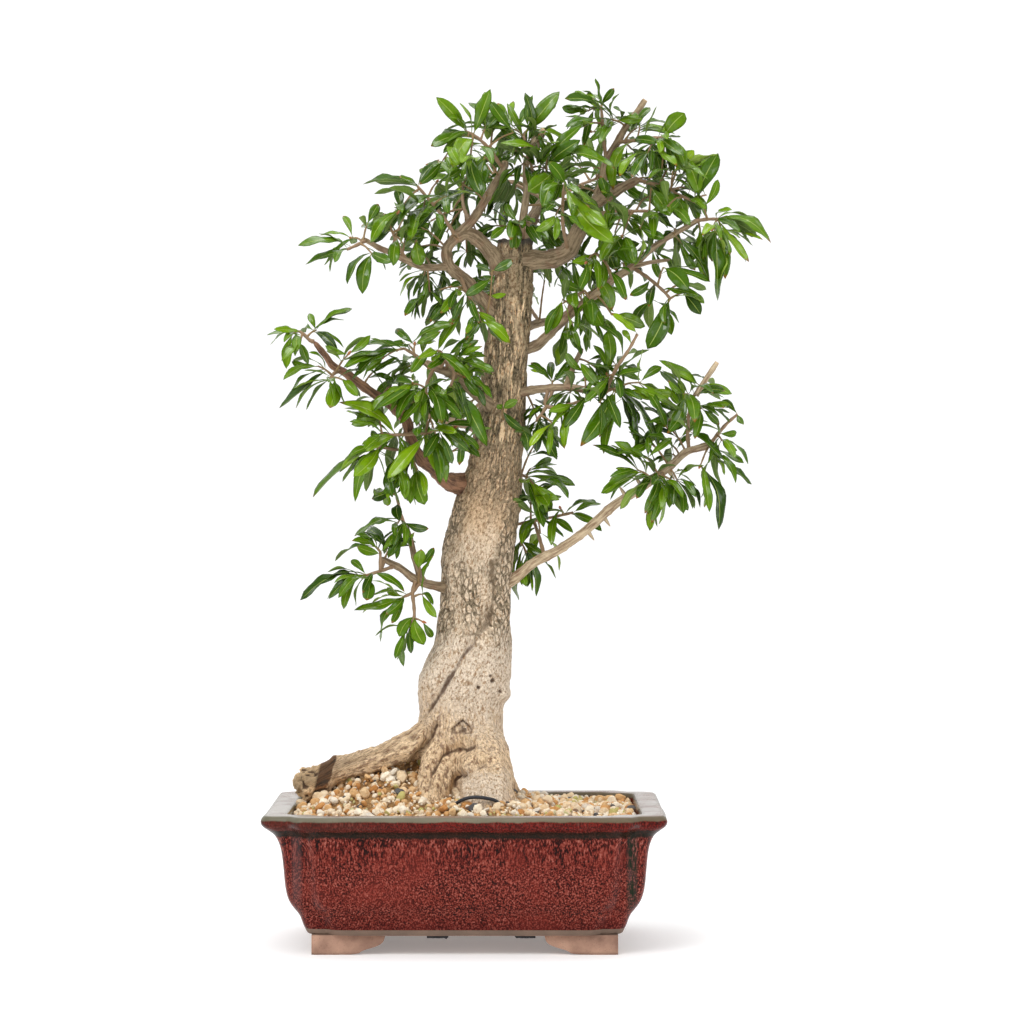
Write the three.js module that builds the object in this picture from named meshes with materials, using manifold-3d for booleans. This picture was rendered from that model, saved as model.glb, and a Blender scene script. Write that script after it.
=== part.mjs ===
// A pomegranate bonsai in its glazed pot. Millimetres, +Z up. The pot's front faces -Y, the pot's centre
// is the middle of every measure below, heights count from a level just above the table, and the whole
// group is then centred on its own outline and stood on the table.
import * as THREE from 'three';
import { mergeVertices } from 'three/addons/utils/BufferGeometryUtils.js';
import Module from 'manifold-3d';

const wasm = await Module();
wasm.setup();

// The pot: a long rectangle whose two long faces stand proud of rounded corner lobes.
const POT_HALF_WIDTH = 137.2;
const POT_HALF_DEPTH = 108.5;
const TABLE = -6;
const FLOOR_UNDER = 7;
const FLOOR_TOP = 15;
const LOBE_WIDTH = 20;
const LOBE_SETBACK = 10;
const LOBE_RADIUS = 9;
const FACE_ROUNDING = 9;
const FOOT_INSET = 33.2;
const FOOT_REACH = 50;
const FOOT_STEP_REACH = 31;
const FOOT_BAND = 16;
const DRAIN_HOLE_X = 62;
const DRAIN_HOLE_RADIUS = 10;
// [height, inset from the rim's outline] up the outside, then down the inside
const POT_OUTSIDE = [
  [7, 34], [7.5, 30.2], [11, 28.6], [14, 27.2], [19.4, 25.5], [22.4, 23.8], [27.6, 19.7], [33, 17],
  [41, 15.3], [55, 14.2], [66, 12.8], [72, 10.4], [77, 6.2], [81, 1.4], [84, 0], [88, 0.5], [90, 2.6],
];
const POT_INSIDE = [
  [90, 17], [88, 18.6], [62, 21.5], [40, 25], [23, 31], [15, 38],
];

// The soil fills the pot and is heaped against the trunk.
const FIT_GAP = 0.35;
const SOIL_EDGE_HEIGHT = 84.5;
const SOIL_RINGS = [1, 0.8, 0.6, 0.4, 0.2];
// [x, y, height added, reach in x, reach in y]
const SOIL_HEAPS = [[-62, -6, 32, 44, 42], [8, 2, 13, 58, 80]];

// The trunk: [height, centre x, centre y, radius across, radius front to back]
const TRUNK_LEVELS = [
  [70, 2, 0, 34, 30], [96, 0, -2, 33, 30], [112, -2, -2, 30, 29], [130, -1, -1, 28, 28],
  [144, -4, 0, 30, 28.5], [160, -3, 0, 29.5, 28], [178, -1, 0, 32.5, 29], [200, 4, 1, 28, 26],
  [222, 5, 2, 24.8, 24], [259, 7, 3, 25, 23.5], [285, 12, 3, 24.3, 22.5], [304, 16, 3, 22.5, 21],
  [326, 20, 3, 19, 18.5], [369, 26, 3, 16.2, 16], [415, 30, 3, 15.8, 15], [452, 32.5, 3, 15, 14],
  [484, 34, 3, 12.6, 12],
];
const TRUNK_SIDES = 14;
// The roots: [x, y, z, radius] from the trunk outwards
const ROOT_SIDES = 8;
const ROOTS = {
  left_surface: [[-14, -4, 142, 15], [-37, -7, 131.4, 10.8], [-60, -9, 122, 9.8], [-83, -10, 116.2, 8.8],
    [-97, -11, 111.6, 9], [-103, -12, 109, 7.8], [-111, -12, 106, 8.2], [-117, -12, 104, 9.4],
    [-121, -12, 102.5, 7.4]],
  front: [[8, -10, 140, 16], [12, -26, 124, 18], [15, -40, 108, 19], [15, -54, 91, 18.5],
    [15, -60, 76, 14]],
  front_left: [[-12, -8, 142, 14], [-18, -20, 120, 12], [-22, -30, 100, 12], [-26, -38, 80, 10]],
  right: [[12, 0, 132, 14], [20, -4, 112, 12], [23, -8, 94, 10.5], [27, -10, 76, 9]],
  back_left: [[-8, 10, 138, 15], [-22, 28, 112, 12], [-34, 42, 94, 9], [-42, 50, 78, 7]],
  back_right: [[8, 12, 136, 15], [20, 32, 110, 12], [30, 46, 92, 9], [36, 54, 78, 7]],
};

// The sleeved wire that ties the tree down: over the front root and through two holes in the floor.
const TIE_WIRE_RADIUS = 1.2;
const TIE_WIRE_HOLE_RADIUS = 3.5;
const TIE_WIRE_HOLES = [[-12, -62], [34.5, -62]];
const TIE_WIRE_ROUTE = [
  [-26, -62, 5.1], [-14.5, -62, 5.2], [-12.2, -62, 7.5], [-11, -62, 40], [-10, -63, 70], [-9, -66, 88],
  [-6, -69, 96], [1, -72, 100], [8, -73, 101], [15, -73, 100.2], [21.5, -71, 98], [26, -67, 92],
  [29, -63, 78], [31, -62, 55], [33, -62, 30], [34.7, -62, 7.5], [37, -62, 5.2], [48, -62, 5.1],
];

// The mesh screens over the drain holes lie on the floor under the soil.
const SCREEN_SIZE = 34;
const SCREEN_THICKNESS = 1.4;
const SCREEN_CELLS = 3;
const SCREEN_OPEN_SHARE = 0.68;

// The leafy growth: how thick stems and side shoots are, and how a blade is drawn and placed.
const BRANCH_SIDES = 6;
const STEM_SIDES = 4;
const STEM_RADIUS = 1.9;
const STEM_TIP_RADIUS = 1.4;
const SHOOT_SIDES = 3;
const SHOOT_RADIUS = 0.6;
const FIRST_SHOOT_AT = 0.6;
const PERCH_DEPTH = 1;
const LEAF_SPACING = 2.4;
const LEAF_ROOT = 0.2;
const LEAF_KEEL = 1.5;
const LEAF_WIDTH_SHARE = 0.3;
const WIDEST_AT = 0.45;
// Leaves that grow further back than this face backwards.
const BACK_LEAVES_FROM = 60;
// A leaf that would touch another piece swings back or forward by one of these first.
const SWINGS = [0, 5, -5, 10, -10, 15, -15, 20, -20, 26, -26];
const CROSSING_VOLUME = 0.2;

const FINISHES = {
  glaze: { color: 0x6e1a1c, roughness: 0.25, metalness: 0 },
  soil: { color: 0xcdb287, roughness: 0.95, metalness: 0 },
  bark: { color: 0xa08c78, roughness: 0.9, metalness: 0 },
  branch_bark: { color: 0x6f5c4d, roughness: 0.85, metalness: 0 },
  leaf: { color: 0x2f6b22, roughness: 0.4, metalness: 0 },
  sleeved_wire: { color: 0x151515, roughness: 0.5, metalness: 0 },
  screen: { color: 0x22241f, roughness: 0.6, metalness: 0 },
};

// The branches: lines of [x, y, z, radius], each starting inside the wood that carries it.
const BRANCHES = {
  right_low: [
    [
      [3, 2, 225, 6], [33, -2, 247, 4.6], [48, -6, 259, 4.4], [67, -9, 269, 4.3], [88, -13, 285, 4.1],
      [101, -16, 297, 4], [116, -20, 307, 3.8], [130, -24, 317, 3.6], [143, -27, 327, 3.4],
      [152, -29, 335, 3.2], [161, -31, 338, 2.9], [170, -33, 341, 2.7],
    ],
  ],
  right_mid: [
    [
      [24, 0, 373, 5], [44, -6, 378, 3.4], [60, -12, 380, 3], [72, -16, 380, 2.8], [85, -20, 378, 2.5],
      [97, -26, 377, 2.2],
    ],
    [
      [69, -15, 380, 2.4], [75, -15, 395, 2], [81, -15, 407, 1.7],
    ],
  ],
  right_upper: [
    [
      [28, 4, 405, 5], [47, 2, 409, 4.2], [56, 0, 416, 3.4], [70, -3, 429, 3], [79, -5, 436, 2.9],
      [102, -8, 455, 2.7], [115, -10, 464, 2.5], [130, -13, 477, 2.2], [142, -15, 485, 2],
      [161, -19, 496, 1.7],
    ],
    [
      [115, -10, 464, 1.8], [129, -16, 467, 1.5], [141, -20, 468, 1.3],
    ],
  ],
  top_right: [
    [
      [28, 0, 468, 9], [44, -2, 469, 7.5], [60, -4, 470, 7], [71, -4, 475, 6.6], [77, -3, 486, 6.2],
      [87, 0, 506, 5], [102, 2, 516, 4], [120, 5, 526, 3],
    ],
    [
      [87, 0, 504, 3.8], [95, 8, 524, 3.2], [98, 8, 538, 2.9], [106, 6, 553, 2.6], [114, 3, 566, 2.4],
      [125, 0, 581, 2.3],
    ],
    [
      [91, 0, 501, 2.4], [100, -2, 502, 2.2], [114, -12, 502, 2],
    ],
  ],
  top_centre: [
    [
      [34, 8, 468, 5], [40, 8, 478, 4], [40, 8, 499, 3], [42, 8, 515, 2.6], [42, 8, 538, 2.3],
      [49, 7, 549, 2], [54, 6, 558, 1.8],
    ],
  ],
  left_fork: [
    [
      [24, -2, 462, 8], [19, -6, 472, 6], [10, -8, 481, 5.4], [1, -10, 487, 5], [-7, -12, 484, 4.6],
    ],
    [
      [17, 0, 433, 8], [10, -6, 443, 5], [-1, -11, 455, 4.4], [-11, -13, 464, 4.2], [-13, -12, 476, 4],
      [-7, -12, 484, 4],
    ],
    [
      [-7, -12, 484, 4.2], [3, -10, 494, 3.6], [10, -8, 504, 3.4], [17, -6, 517, 3], [26, -2, 532, 2.6],
      [27, -1, 538, 2.4],
    ],
  ],
  left_long: [
    [
      [-11, -13, 464, 3], [-28, -18, 463, 2.6], [-42, -23, 468, 2.4], [-52, -28, 473, 2.2],
      [-60, -31, 476, 2], [-71, -34, 482, 1.7],
    ],
  ],
  left_tier: [
    [
      [10, 0, 312, 10], [-2, -5, 313, 8.6], [-14, -10, 316, 6.6], [-22, -13, 324, 5.4],
      [-32, -17, 332, 4.8], [-38, -20, 345, 4.2], [-41, -22, 357, 3.9], [-50, -24, 366, 3.6],
      [-61, -27, 374, 3.4], [-71, -29, 381, 3.2], [-82, -31, 389, 3], [-91, -33, 394, 2.7],
      [-96, -34, 401, 2.4], [-104, -36, 411, 2],
    ],
  ],
  left_low: [
    [
      [-3, 0, 239, 7], [-20, -3, 242, 3.6], [-29, -5, 244, 3.2], [-37, -8, 248, 3],
      [-44, -10, 254, 2.8], [-51, -11, 258, 2.4], [-59, -13, 262, 2],
    ],
    [
      [-29, -5, 244, 2.8], [-33, -5, 252, 2.6], [-38, -8, 271, 2.4], [-42, -10, 285, 2.2],
    ],
  ],
  front_left: [
    [
      [19, -4, 365, 6], [10, -14, 373, 4.2], [-1, -22, 382, 3.6], [-12, -29, 390, 3.2],
      [-23, -34, 394, 2.8], [-28, -36, 397, 2.4],
    ],
  ],
  back_low: [
    [
      [14, 6, 344, 7], [12, 26, 347, 4.6], [4, 48, 354, 4], [-8, 64, 357, 3.4], [-23, 80, 360, 2.6],
    ],
  ],
  back_mid: [
    [
      [29, 6, 414, 7], [42, 28, 422, 4.6], [55, 48, 427, 4], [63, 64, 430, 3.2], [71, 78, 435, 2.4],
    ],
  ],
  back_top: [
    [
      [35, 2, 471, 8], [40, 18, 484, 5.6], [48, 36, 504, 4.4], [56, 54, 515, 3.6], [68, 68, 521, 2.8],
    ],
  ],
};

// The leafy sprays: stems of [x, y, z] that start inside their carrier, the tips of side shoots, and the
// leaves that set the outline, as [base x, y, z, tip x, y, z, width seen from the front].
const SPRAYS = {
  crown_left_tip: {
    carrier: 'left_fork',
    stems: [
      [[24, -4, 535], [17, -10, 545], [8, -16, 553], [0, -20, 557]],
    ],
    shoots: [
      [14, -8, 561], [-7, -28, 544], [3, -34, 533], [19, 14, 563],
    ],
    leaves: [
      [-1, -20, 559, -20, -34, 579, 11], [7, -15, 561, 17, -20, 586, 11], [14, -8, 559, 14, 4, 577, 6],
      [5, -20, 551, -9, -44, 530, 14], [13, -26, 540, 11, -48, 511, 12], [0, -20, 557, -18, -4, 553, 8],
      [10, -14, 560, 24, -2, 572, 7],
    ],
  },
  crown_left_outer: {
    carrier: 'left_fork',
    stems: [
      [[-7, -12, 485], [-15, -22, 497], [-25, -30, 509], [-33, -34, 518]],
    ],
    shoots: [
      [-20, -18, 522], [-45, -44, 500], [-28, -52, 502], [-12, -34, 511],
    ],
    leaves: [
      [-34, -34, 517, -70, -48, 518, 5], [-32, -34, 520, -18, -26, 537, 6],
      [-45, -44, 500, -47, -40, 515, 8], [-43, -44, 498, -64, -66, 477, 10],
      [-1, -40, 514, -45, -72, 488, 8], [12, -50, 509, -36, -78, 478, 7],
      [-20, -20, 521, -3, -6, 532, 7],
    ],
  },
  left_long_tip: {
    carrier: 'left_long',
    stems: [
      [[-68, -34, 481], [-75, -38, 477], [-81, -42, 474]],
    ],
    shoots: [
      [-64, -44, 471], [-79, -22, 483], [-68, -34, 491],
    ],
    leaves: [
      [-76, -40, 474, -114, -52, 476, 6], [-82, -42, 472, -110, -34, 464, 6],
      [-63, -44, 469, -70, -54, 443, 12], [-64, -44, 472, -50, -60, 464, 9],
      [-79, -24, 483, -85, -14, 499, 6], [-68, -34, 491, -60, -30, 506, 8],
    ],
  },
  left_long_mid: {
    carrier: 'left_long',
    stems: [
      [[-42, -22, 469], [-46, -32, 477], [-50, -38, 486]],
    ],
    shoots: [
      [-39, -44, 488], [-56, -30, 499], [-43, -50, 478],
    ],
    leaves: [
      [-46, -42, 479, -49, -56, 462, 10], [-39, -44, 488, -24, -60, 497, 7],
      [-50, -38, 486, -72, -20, 492, 7],
    ],
  },
  crown_left_inner: {
    carrier: 'left_fork',
    stems: [
      [[3, -9, 494], [-2, 12, 508], [-3, 24, 523]],
    ],
    shoots: [
      [-12, 36, 534], [5, 30, 536], [-13, 34, 510], [8, 44, 523],
    ],
    leaves: [
      [-3, 24, 523, -15, 36, 544, 10], [5, 30, 536, 21, 44, 550, 8], [-12, 36, 534, -30, 46, 537, 9],
    ],
  },
  left_fork_low: {
    carrier: 'left_fork',
    stems: [
      [[-3, -14, 456], [0, -24, 447], [6, -30, 436], [10, -34, 425]],
    ],
    shoots: [
      [-5, -34, 447], [-18, -28, 447],
    ],
    leaves: [
      [10, -34, 425, 31, -44, 410, 10], [9, -34, 427, 1, -48, 413, 7], [-5, -34, 447, -17, -48, 430, 8],
      [7, -32, 433, 21, -30, 425, 6], [0, -26, 446, -9, -30, 425, 6],
    ],
  },
  crown_centre_top: {
    carrier: 'top_centre',
    stems: [
      [[42, 8, 523], [46, -4, 526], [56, -14, 529], [65, -20, 525]],
      [[46, -4, 526], [44, -8, 543], [40, -6, 555]],
    ],
    shoots: [
      [32, 6, 561], [56, -18, 543], [47, 10, 564],
    ],
    leaves: [
      [40, -6, 559, 65, -14, 585, 13], [56, -14, 534, 79, -30, 550, 12],
      [60, -16, 533, 103, -40, 529, 7], [67, -20, 519, 53, -46, 502, 14],
      [60, -14, 527, 43, -36, 514, 15], [32, 6, 562, 22, 14, 580, 8], [32, 6, 561, 10, -2, 565, 6],
    ],
  },
  crown_apex: {
    carrier: 'top_right',
    stems: [
      [[98, 8, 540], [96, 4, 553], [95, 0, 566], [94, 0, 577]],
    ],
    shoots: [
      [85, 10, 574], [79, -14, 560], [106, -10, 565], [88, 26, 561],
    ],
    leaves: [
      [100, -4, 560, 69, -20, 560, 6], [95, 0, 578, 90, 2, 596, 3], [93, 0, 573, 76, 10, 588, 6],
      [94, 0, 577, 103, -8, 588, 6], [106, -10, 565, 122, -20, 566, 8], [85, 10, 574, 67, 14, 577, 8],
    ],
  },
  crown_centre_front: {
    carrier: 'top_right',
    stems: [
      [[71, -5, 475], [67, -32, 492], [67, -46, 510], [68, -50, 518]],
    ],
    shoots: [
      [82, -52, 503], [62, -54, 497], [77, -40, 515],
    ],
    leaves: [
      [68, -50, 519, 101, -62, 477, 18], [62, -54, 497, 48, -64, 485, 8],
      [82, -52, 503, 96, -70, 488, 10], [68, -50, 518, 57, -54, 533, 10],
    ],
  },
  crown_notch: {
    carrier: 'top_centre',
    stems: [
      [[40, 2, 483], [37, -10, 490], [36, -16, 495]],
    ],
    shoots: [
      [29, -24, 491], [46, -22, 492],
    ],
    leaves: [
      [36, -16, 495, 35, -24, 475, 10], [29, -24, 491, 17, -34, 482, 7],
      [46, -22, 492, 57, -36, 481, 7], [36, -16, 495, 28, -10, 508, 7],
    ],
  },
  crown_right_top: {
    carrier: 'top_right',
    stems: [
      [[106, 6, 552], [118, -6, 552], [129, -14, 553], [137, -18, 553]],
    ],
    shoots: [
      [126, -28, 542], [119, 10, 562], [141, 4, 548],
    ],
    leaves: [
      [137, -18, 554, 151, -26, 569, 14], [114, -8, 552, 135, -28, 548, 8],
      [138, -18, 553, 152, -28, 530, 8], [108, -12, 544, 102, -26, 516, 10],
      [126, -28, 542, 114, -44, 523, 8], [119, 10, 562, 122, 18, 579, 8],
    ],
  },
  crown_right_shoulder: {
    carrier: 'top_right',
    stems: [
      [[121, 4, 525], [135, -8, 520], [148, -16, 513], [159, -20, 508]],
    ],
    shoots: [
      [143, -24, 529], [157, 10, 519], [139, -36, 504], [167, -6, 514],
    ],
    leaves: [
      [159, -20, 510, 174, -28, 541, 14], [158, -20, 508, 151, -6, 544, 8],
      [166, -16, 504, 175, -14, 532, 6], [123, -10, 522, 141, -34, 498, 10],
      [143, -24, 529, 158, -18, 544, 8], [139, -36, 504, 154, -48, 490, 8],
    ],
  },
  crown_right_tip: {
    carrier: 'right_upper',
    stems: [
      [[158, -18, 495], [166, -22, 496], [174, -26, 496]],
    ],
    shoots: [
      [170, -34, 489], [163, -8, 487], [177, -20, 488],
    ],
    leaves: [
      [174, -26, 496, 210, -34, 479, 9], [170, -24, 499, 200, -8, 494, 6],
      [171, -32, 491, 173, -40, 439, 11], [176, -22, 487, 194, -14, 467, 4],
      [163, -8, 487, 156, -4, 468, 8], [166, -22, 496, 160, -16, 513, 7],
    ],
  },
  crown_right_mid: {
    carrier: 'top_right',
    stems: [
      [[95, 0, 501], [109, -12, 502], [127, -20, 502]],
    ],
    shoots: [
      [120, -36, 489], [108, -34, 484], [127, 6, 514], [97, -26, 509],
    ],
    leaves: [
      [108, -34, 484, 117, -46, 464, 11], [120, -36, 489, 136, -48, 481, 8],
      [127, -20, 502, 145, -28, 504, 7], [97, -26, 509, 93, -34, 525, 9],
      [108, -34, 485, 92, -50, 465, 8],
    ],
  },
  right_upper_low: {
    carrier: 'right_upper',
    stems: [
      [[115, -8, 464], [126, -18, 456], [136, -24, 447], [141, -28, 441]],
    ],
    shoots: [
      [151, -18, 452], [136, -36, 462], [129, -6, 441],
    ],
    leaves: [
      [136, -36, 462, 153, -44, 446, 14], [143, -24, 478, 168, -40, 452, 6],
      [139, -28, 441, 125, -38, 406, 15], [151, -18, 452, 165, -20, 438, 7],
      [129, -6, 441, 117, 0, 425, 8], [136, -24, 447, 161, -40, 442, 6],
      [126, -20, 454, 113, -32, 443, 7],
    ],
  },
  right_upper_inner: {
    carrier: 'right_upper',
    stems: [
      [[70, -3, 429], [74, -12, 441], [82, -18, 447]],
    ],
    shoots: [
      [67, -20, 438], [86, -30, 440], [75, -14, 420],
    ],
    leaves: [
      [67, -20, 439, 55, -30, 416, 8], [74, -14, 423, 80, -22, 402, 6], [86, -30, 440, 95, -40, 420, 8],
      [82, -18, 447, 65, -24, 454, 8],
    ],
  },
  right_upper_front: {
    carrier: 'right_upper',
    stems: [
      [[102, -8, 455], [97, -22, 465], [90, -32, 472]],
    ],
    shoots: [
      [99, -40, 459], [83, -46, 465], [101, -16, 475],
    ],
    leaves: [
      [90, -32, 472, 73, -44, 465, 8], [99, -40, 459, 110, -48, 439, 8],
      [83, -46, 465, 78, -56, 446, 8], [101, -16, 475, 120, -26, 479, 8],
    ],
  },
  right_mid_tip: {
    carrier: 'right_mid',
    stems: [
      [[93, -22, 377], [98, -26, 378], [104, -30, 379]],
      [[97, -26, 378], [104, -34, 393], [112, -40, 405], [118, -42, 416]],
    ],
    shoots: [
      [120, -36, 383], [98, -18, 389], [111, -14, 373], [92, -44, 369],
    ],
    leaves: [
      [102, -30, 378, 79, -44, 339, 15], [103, -32, 377, 95, -40, 334, 10],
      [104, -32, 377, 116, -34, 332, 5], [105, -30, 377, 131, -40, 341, 6],
      [106, -30, 378, 120, -20, 355, 6], [105, -30, 379, 143, -36, 375, 10],
      [99, -34, 372, 79, -40, 396, 8], [98, -18, 390, 98, -22, 419, 11],
      [114, -40, 409, 108, -34, 419, 5], [120, -42, 417, 100, -50, 430, 6],
      [120, -36, 383, 135, -30, 394, 7], [120, -36, 383, 145, -28, 364, 7],
    ],
  },
  right_mid_inner: {
    carrier: 'right_mid',
    stems: [
      [[60, -12, 378], [56, -18, 367], [49, -20, 357]],
      [[56, -18, 367], [71, -28, 368], [84, -32, 372]],
    ],
    shoots: [
      [60, -24, 355], [75, -32, 368], [82, -14, 391],
    ],
    leaves: [
      [85, -30, 374, 68, -42, 352, 9], [49, -18, 356, 63, -32, 330, 9], [53, -20, 355, 68, -14, 338, 3],
      [60, -24, 355, 44, -34, 339, 6], [82, -14, 391, 69, -20, 404, 7], [75, -32, 368, 57, -46, 363, 7],
    ],
  },
  trunk_right: {
    carrier: 'trunk',
    stems: [
      [[29, 2, 320], [37, 6, 320], [42, 8, 318]],
    ],
    shoots: [
      [47, 0, 313], [45, 16, 324],
    ],
    leaves: [
      [42, 8, 319, 76, -4, 312, 8], [40, 6, 316, 54, -6, 283, 9], [42, 8, 315, 60, 12, 295, 8],
      [45, 16, 324, 60, 24, 331, 6], [47, 0, 313, 65, -10, 302, 7],
    ],
  },
  trunk_right_low: {
    carrier: 'trunk',
    stems: [
      [[21, 10, 282], [32, 18, 284], [47, 24, 287], [62, 24, 290], [75, 22, 293]],
      [[47, 24, 287], [42, 22, 279], [38, 20, 272]],
    ],
    shoots: [
      [52, 30, 278], [66, 16, 296], [42, 12, 265],
    ],
    leaves: [
      [59, 24, 289, 75, 16, 279, 6], [72, 22, 292, 95, 14, 280, 5], [75, 22, 293, 95, 28, 299, 5],
      [38, 18, 274, 54, 10, 263, 7], [38, 18, 272, 43, 14, 241, 6], [40, 16, 270, 49, 20, 234, 6],
      [37, 18, 273, 37, 26, 231, 6], [37, 20, 277, 33, 30, 254, 6],
    ],
  },
  right_low_top: {
    carrier: 'right_low',
    stems: [
      [[154, -28, 337], [153, -30, 350], [155, -32, 368], [160, -34, 379]],
    ],
    shoots: [
      [162, -40, 365], [148, -24, 360], [166, -30, 385], [154, -42, 349], [150, -40, 375],
    ],
    leaves: [
      [159, -34, 383, 133, -40, 398, 9], [163, -32, 382, 183, -38, 375, 8],
      [162, -40, 365, 181, -46, 368, 5], [154, -36, 346, 175, -40, 328, 5],
      [148, -24, 360, 134, -18, 369, 6], [150, -40, 375, 139, -48, 384, 5],
      [162, -40, 365, 174, -48, 354, 6], [148, -24, 360, 139, -20, 349, 6],
    ],
  },
  right_low_tip: {
    carrier: 'right_low',
    stems: [
      [[168, -33, 340], [174, -35, 348], [180, -36, 355], [187, -37, 361]],
    ],
    shoots: [
      [176, -42, 343], [169, -38, 332], [161, -46, 326],
    ],
    leaves: [
      [187, -37, 362, 191, -40, 354, 5], [169, -38, 331, 197, -32, 313, 3],
      [161, -46, 326, 173, -54, 282, 10], [159, -46, 323, 164, -38, 297, 6],
      [176, -42, 343, 186, -50, 336, 6], [187, -37, 361, 177, -30, 371, 6],
      [174, -35, 348, 187, -26, 349, 6],
    ],
  },
  right_low_inner: {
    carrier: 'right_low',
    stems: [
      [[136, -25, 321], [135, -34, 319], [130, -40, 315]],
    ],
    shoots: [
      [136, -40, 313], [145, -36, 313], [118, -40, 323], [125, -38, 331],
    ],
    leaves: [
      [135, -36, 316, 123, -44, 293, 8], [134, -36, 315, 127, -30, 281, 7],
      [137, -34, 316, 140, -42, 297, 8], [121, -40, 321, 93, -46, 307, 9],
      [118, -40, 324, 87, -44, 340, 6], [125, -38, 330, 126, -34, 346, 6],
      [145, -36, 313, 153, -38, 295, 6], [125, -38, 331, 142, -36, 345, 6],
    ],
  },
  left_tier_tip: {
    carrier: 'left_tier',
    stems: [
      [[-107, -36, 412], [-111, -38, 416], [-114, -40, 418]],
    ],
    shoots: [
      [-113, -44, 410], [-103, -30, 419], [-119, -42, 416],
    ],
    leaves: [
      [-114, -40, 415, -136, -46, 415, 4], [-108, -34, 421, -78, -30, 434, 4],
      [-116, -42, 411, -122, -46, 393, 5], [-101, -34, 414, -87, -44, 404, 8],
      [-113, -44, 410, -124, -40, 404, 5], [-103, -30, 419, -108, -24, 431, 6],
      [-113, -44, 410, -107, -52, 395, 7],
    ],
  },
  left_tier_outer: {
    carrier: 'left_tier',
    stems: [
      [[-86, -32, 391], [-90, -42, 389], [-93, -48, 384]],
    ],
    shoots: [
      [-101, -44, 394], [-83, -48, 384], [-80, -46, 402],
    ],
    leaves: [
      [-98, -42, 387, -127, -50, 365, 6], [-90, -48, 386, -92, -56, 365, 12],
      [-80, -46, 402, -65, -44, 415, 7], [-101, -38, 394, -119, -42, 397, 6],
      [-84, -46, 386, -73, -56, 373, 8], [-80, -46, 402, -96, -42, 408, 6],
    ],
  },
  left_tier_top: {
    carrier: 'front_left',
    stems: [
      [[-28, -34, 396], [-35, -40, 402], [-42, -44, 406]],
    ],
    shoots: [
      [-47, -48, 404], [-35, -34, 409], [-56, -42, 400],
    ],
    leaves: [
      [-43, -44, 406, -86, -56, 397, 5], [-41, -44, 407, -71, -38, 409, 5],
      [-47, -48, 404, -77, -58, 384, 7], [-35, -34, 409, -47, -28, 419, 6],
      [-35, -34, 409, -17, -36, 418, 7], [-56, -42, 400, -68, -52, 390, 6],
    ],
  },
  left_tier_right: {
    carrier: 'front_left',
    stems: [
      [[-13, -30, 392], [-13, -38, 398], [-17, -42, 404]],
      [[-13, -38, 398], [-8, -46, 389], [-10, -48, 380]],
    ],
    shoots: [
      [-6, -42, 398], [-2, -40, 387], [-26, -46, 404],
    ],
    leaves: [
      [-28, -44, 405, 5, -62, 381, 8], [-6, -42, 398, 20, -52, 390, 6],
      [-11, -40, 401, 14, -34, 401, 4], [-11, -42, 380, 15, -54, 339, 12],
      [-26, -46, 404, -37, -60, 389, 8], [-2, -40, 387, 10, -50, 373, 7],
      [-6, -42, 398, 9, -40, 412, 6],
    ],
  },
  left_tier_mid: {
    carrier: 'front_left',
    stems: [
      [[-22, -34, 392], [-26, -44, 383], [-27, -50, 375]],
    ],
    shoots: [
      [-36, -52, 382], [-20, -56, 372], [-28, -50, 368],
    ],
    leaves: [
      [-26, -46, 384, -33, -60, 353, 10], [-26, -44, 384, -13, -62, 364, 14],
      [-34, -50, 383, -62, -66, 363, 8], [-36, -52, 382, -50, -60, 370, 8],
      [-20, -56, 372, -2, -66, 357, 7], [-27, -50, 373, -44, -64, 354, 7],
    ],
  },
  left_tier_inner: {
    carrier: 'left_tier',
    stems: [
      [[-39, -21, 349], [-33, -34, 348], [-26, -40, 348]],
      [[-33, -34, 348], [-45, -44, 347], [-57, -46, 347]],
    ],
    shoots: [
      [-17, -44, 350], [-47, -44, 346], [-59, -42, 358], [-8, -46, 352],
    ],
    leaves: [
      [-47, -44, 345, -86, -50, 369, 10], [-26, -42, 346, -53, -56, 317, 11],
      [-24, -40, 345, -13, -46, 314, 7], [-8, -46, 352, -4, -52, 326, 6],
      [-59, -42, 358, -78, -44, 354, 8], [-17, -44, 350, 3, -56, 335, 8],
      [-47, -44, 346, -68, -54, 335, 8], [-17, -44, 350, -28, -58, 331, 8],
    ],
  },
  left_tier_low: {
    carrier: 'left_tier',
    stems: [
      [[-36, -20, 338], [-42, -30, 337], [-50, -36, 337], [-60, -40, 339]],
    ],
    shoots: [
      [-61, -40, 334], [-42, -38, 327], [-33, -34, 323],
    ],
    leaves: [
      [-61, -40, 335, -104, -50, 304, 5], [-60, -40, 338, -82, -44, 330, 6],
      [-33, -34, 324, -28, -42, 299, 12], [-42, -38, 327, -56, -48, 306, 8],
      [-61, -40, 334, -72, -48, 317, 7], [-50, -36, 337, -65, -28, 350, 7],
    ],
  },
  left_low_tip: {
    carrier: 'left_low',
    stems: [
      [[-50, -11, 256], [-59, -19, 253], [-69, -22, 250]],
      [[-59, -19, 253], [-59, -22, 261], [-59, -22, 266]],
    ],
    shoots: [
      [-74, -24, 249], [-65, -28, 246], [-62, -22, 270],
    ],
    leaves: [
      [-72, -22, 251, -114, -28, 233, 6], [-75, -24, 248, -84, -32, 227, 7],
      [-67, -26, 249, -68, -34, 233, 10], [-59, -22, 265, -75, -26, 270, 8],
      [-63, -22, 250, -42, -34, 239, 6], [-69, -22, 251, -80, -12, 260, 6],
      [-59, -22, 266, -47, -18, 280, 6], [-62, -22, 270, -72, -20, 280, 6],
    ],
  },
  left_low_mid: {
    carrier: 'left_low',
    stems: [
      [[-32, -6, 245], [-37, -14, 238], [-43, -18, 235]],
      [[-37, -14, 238], [-36, -18, 229], [-36, -20, 220], [-41, -22, 213]],
    ],
    shoots: [
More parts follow.
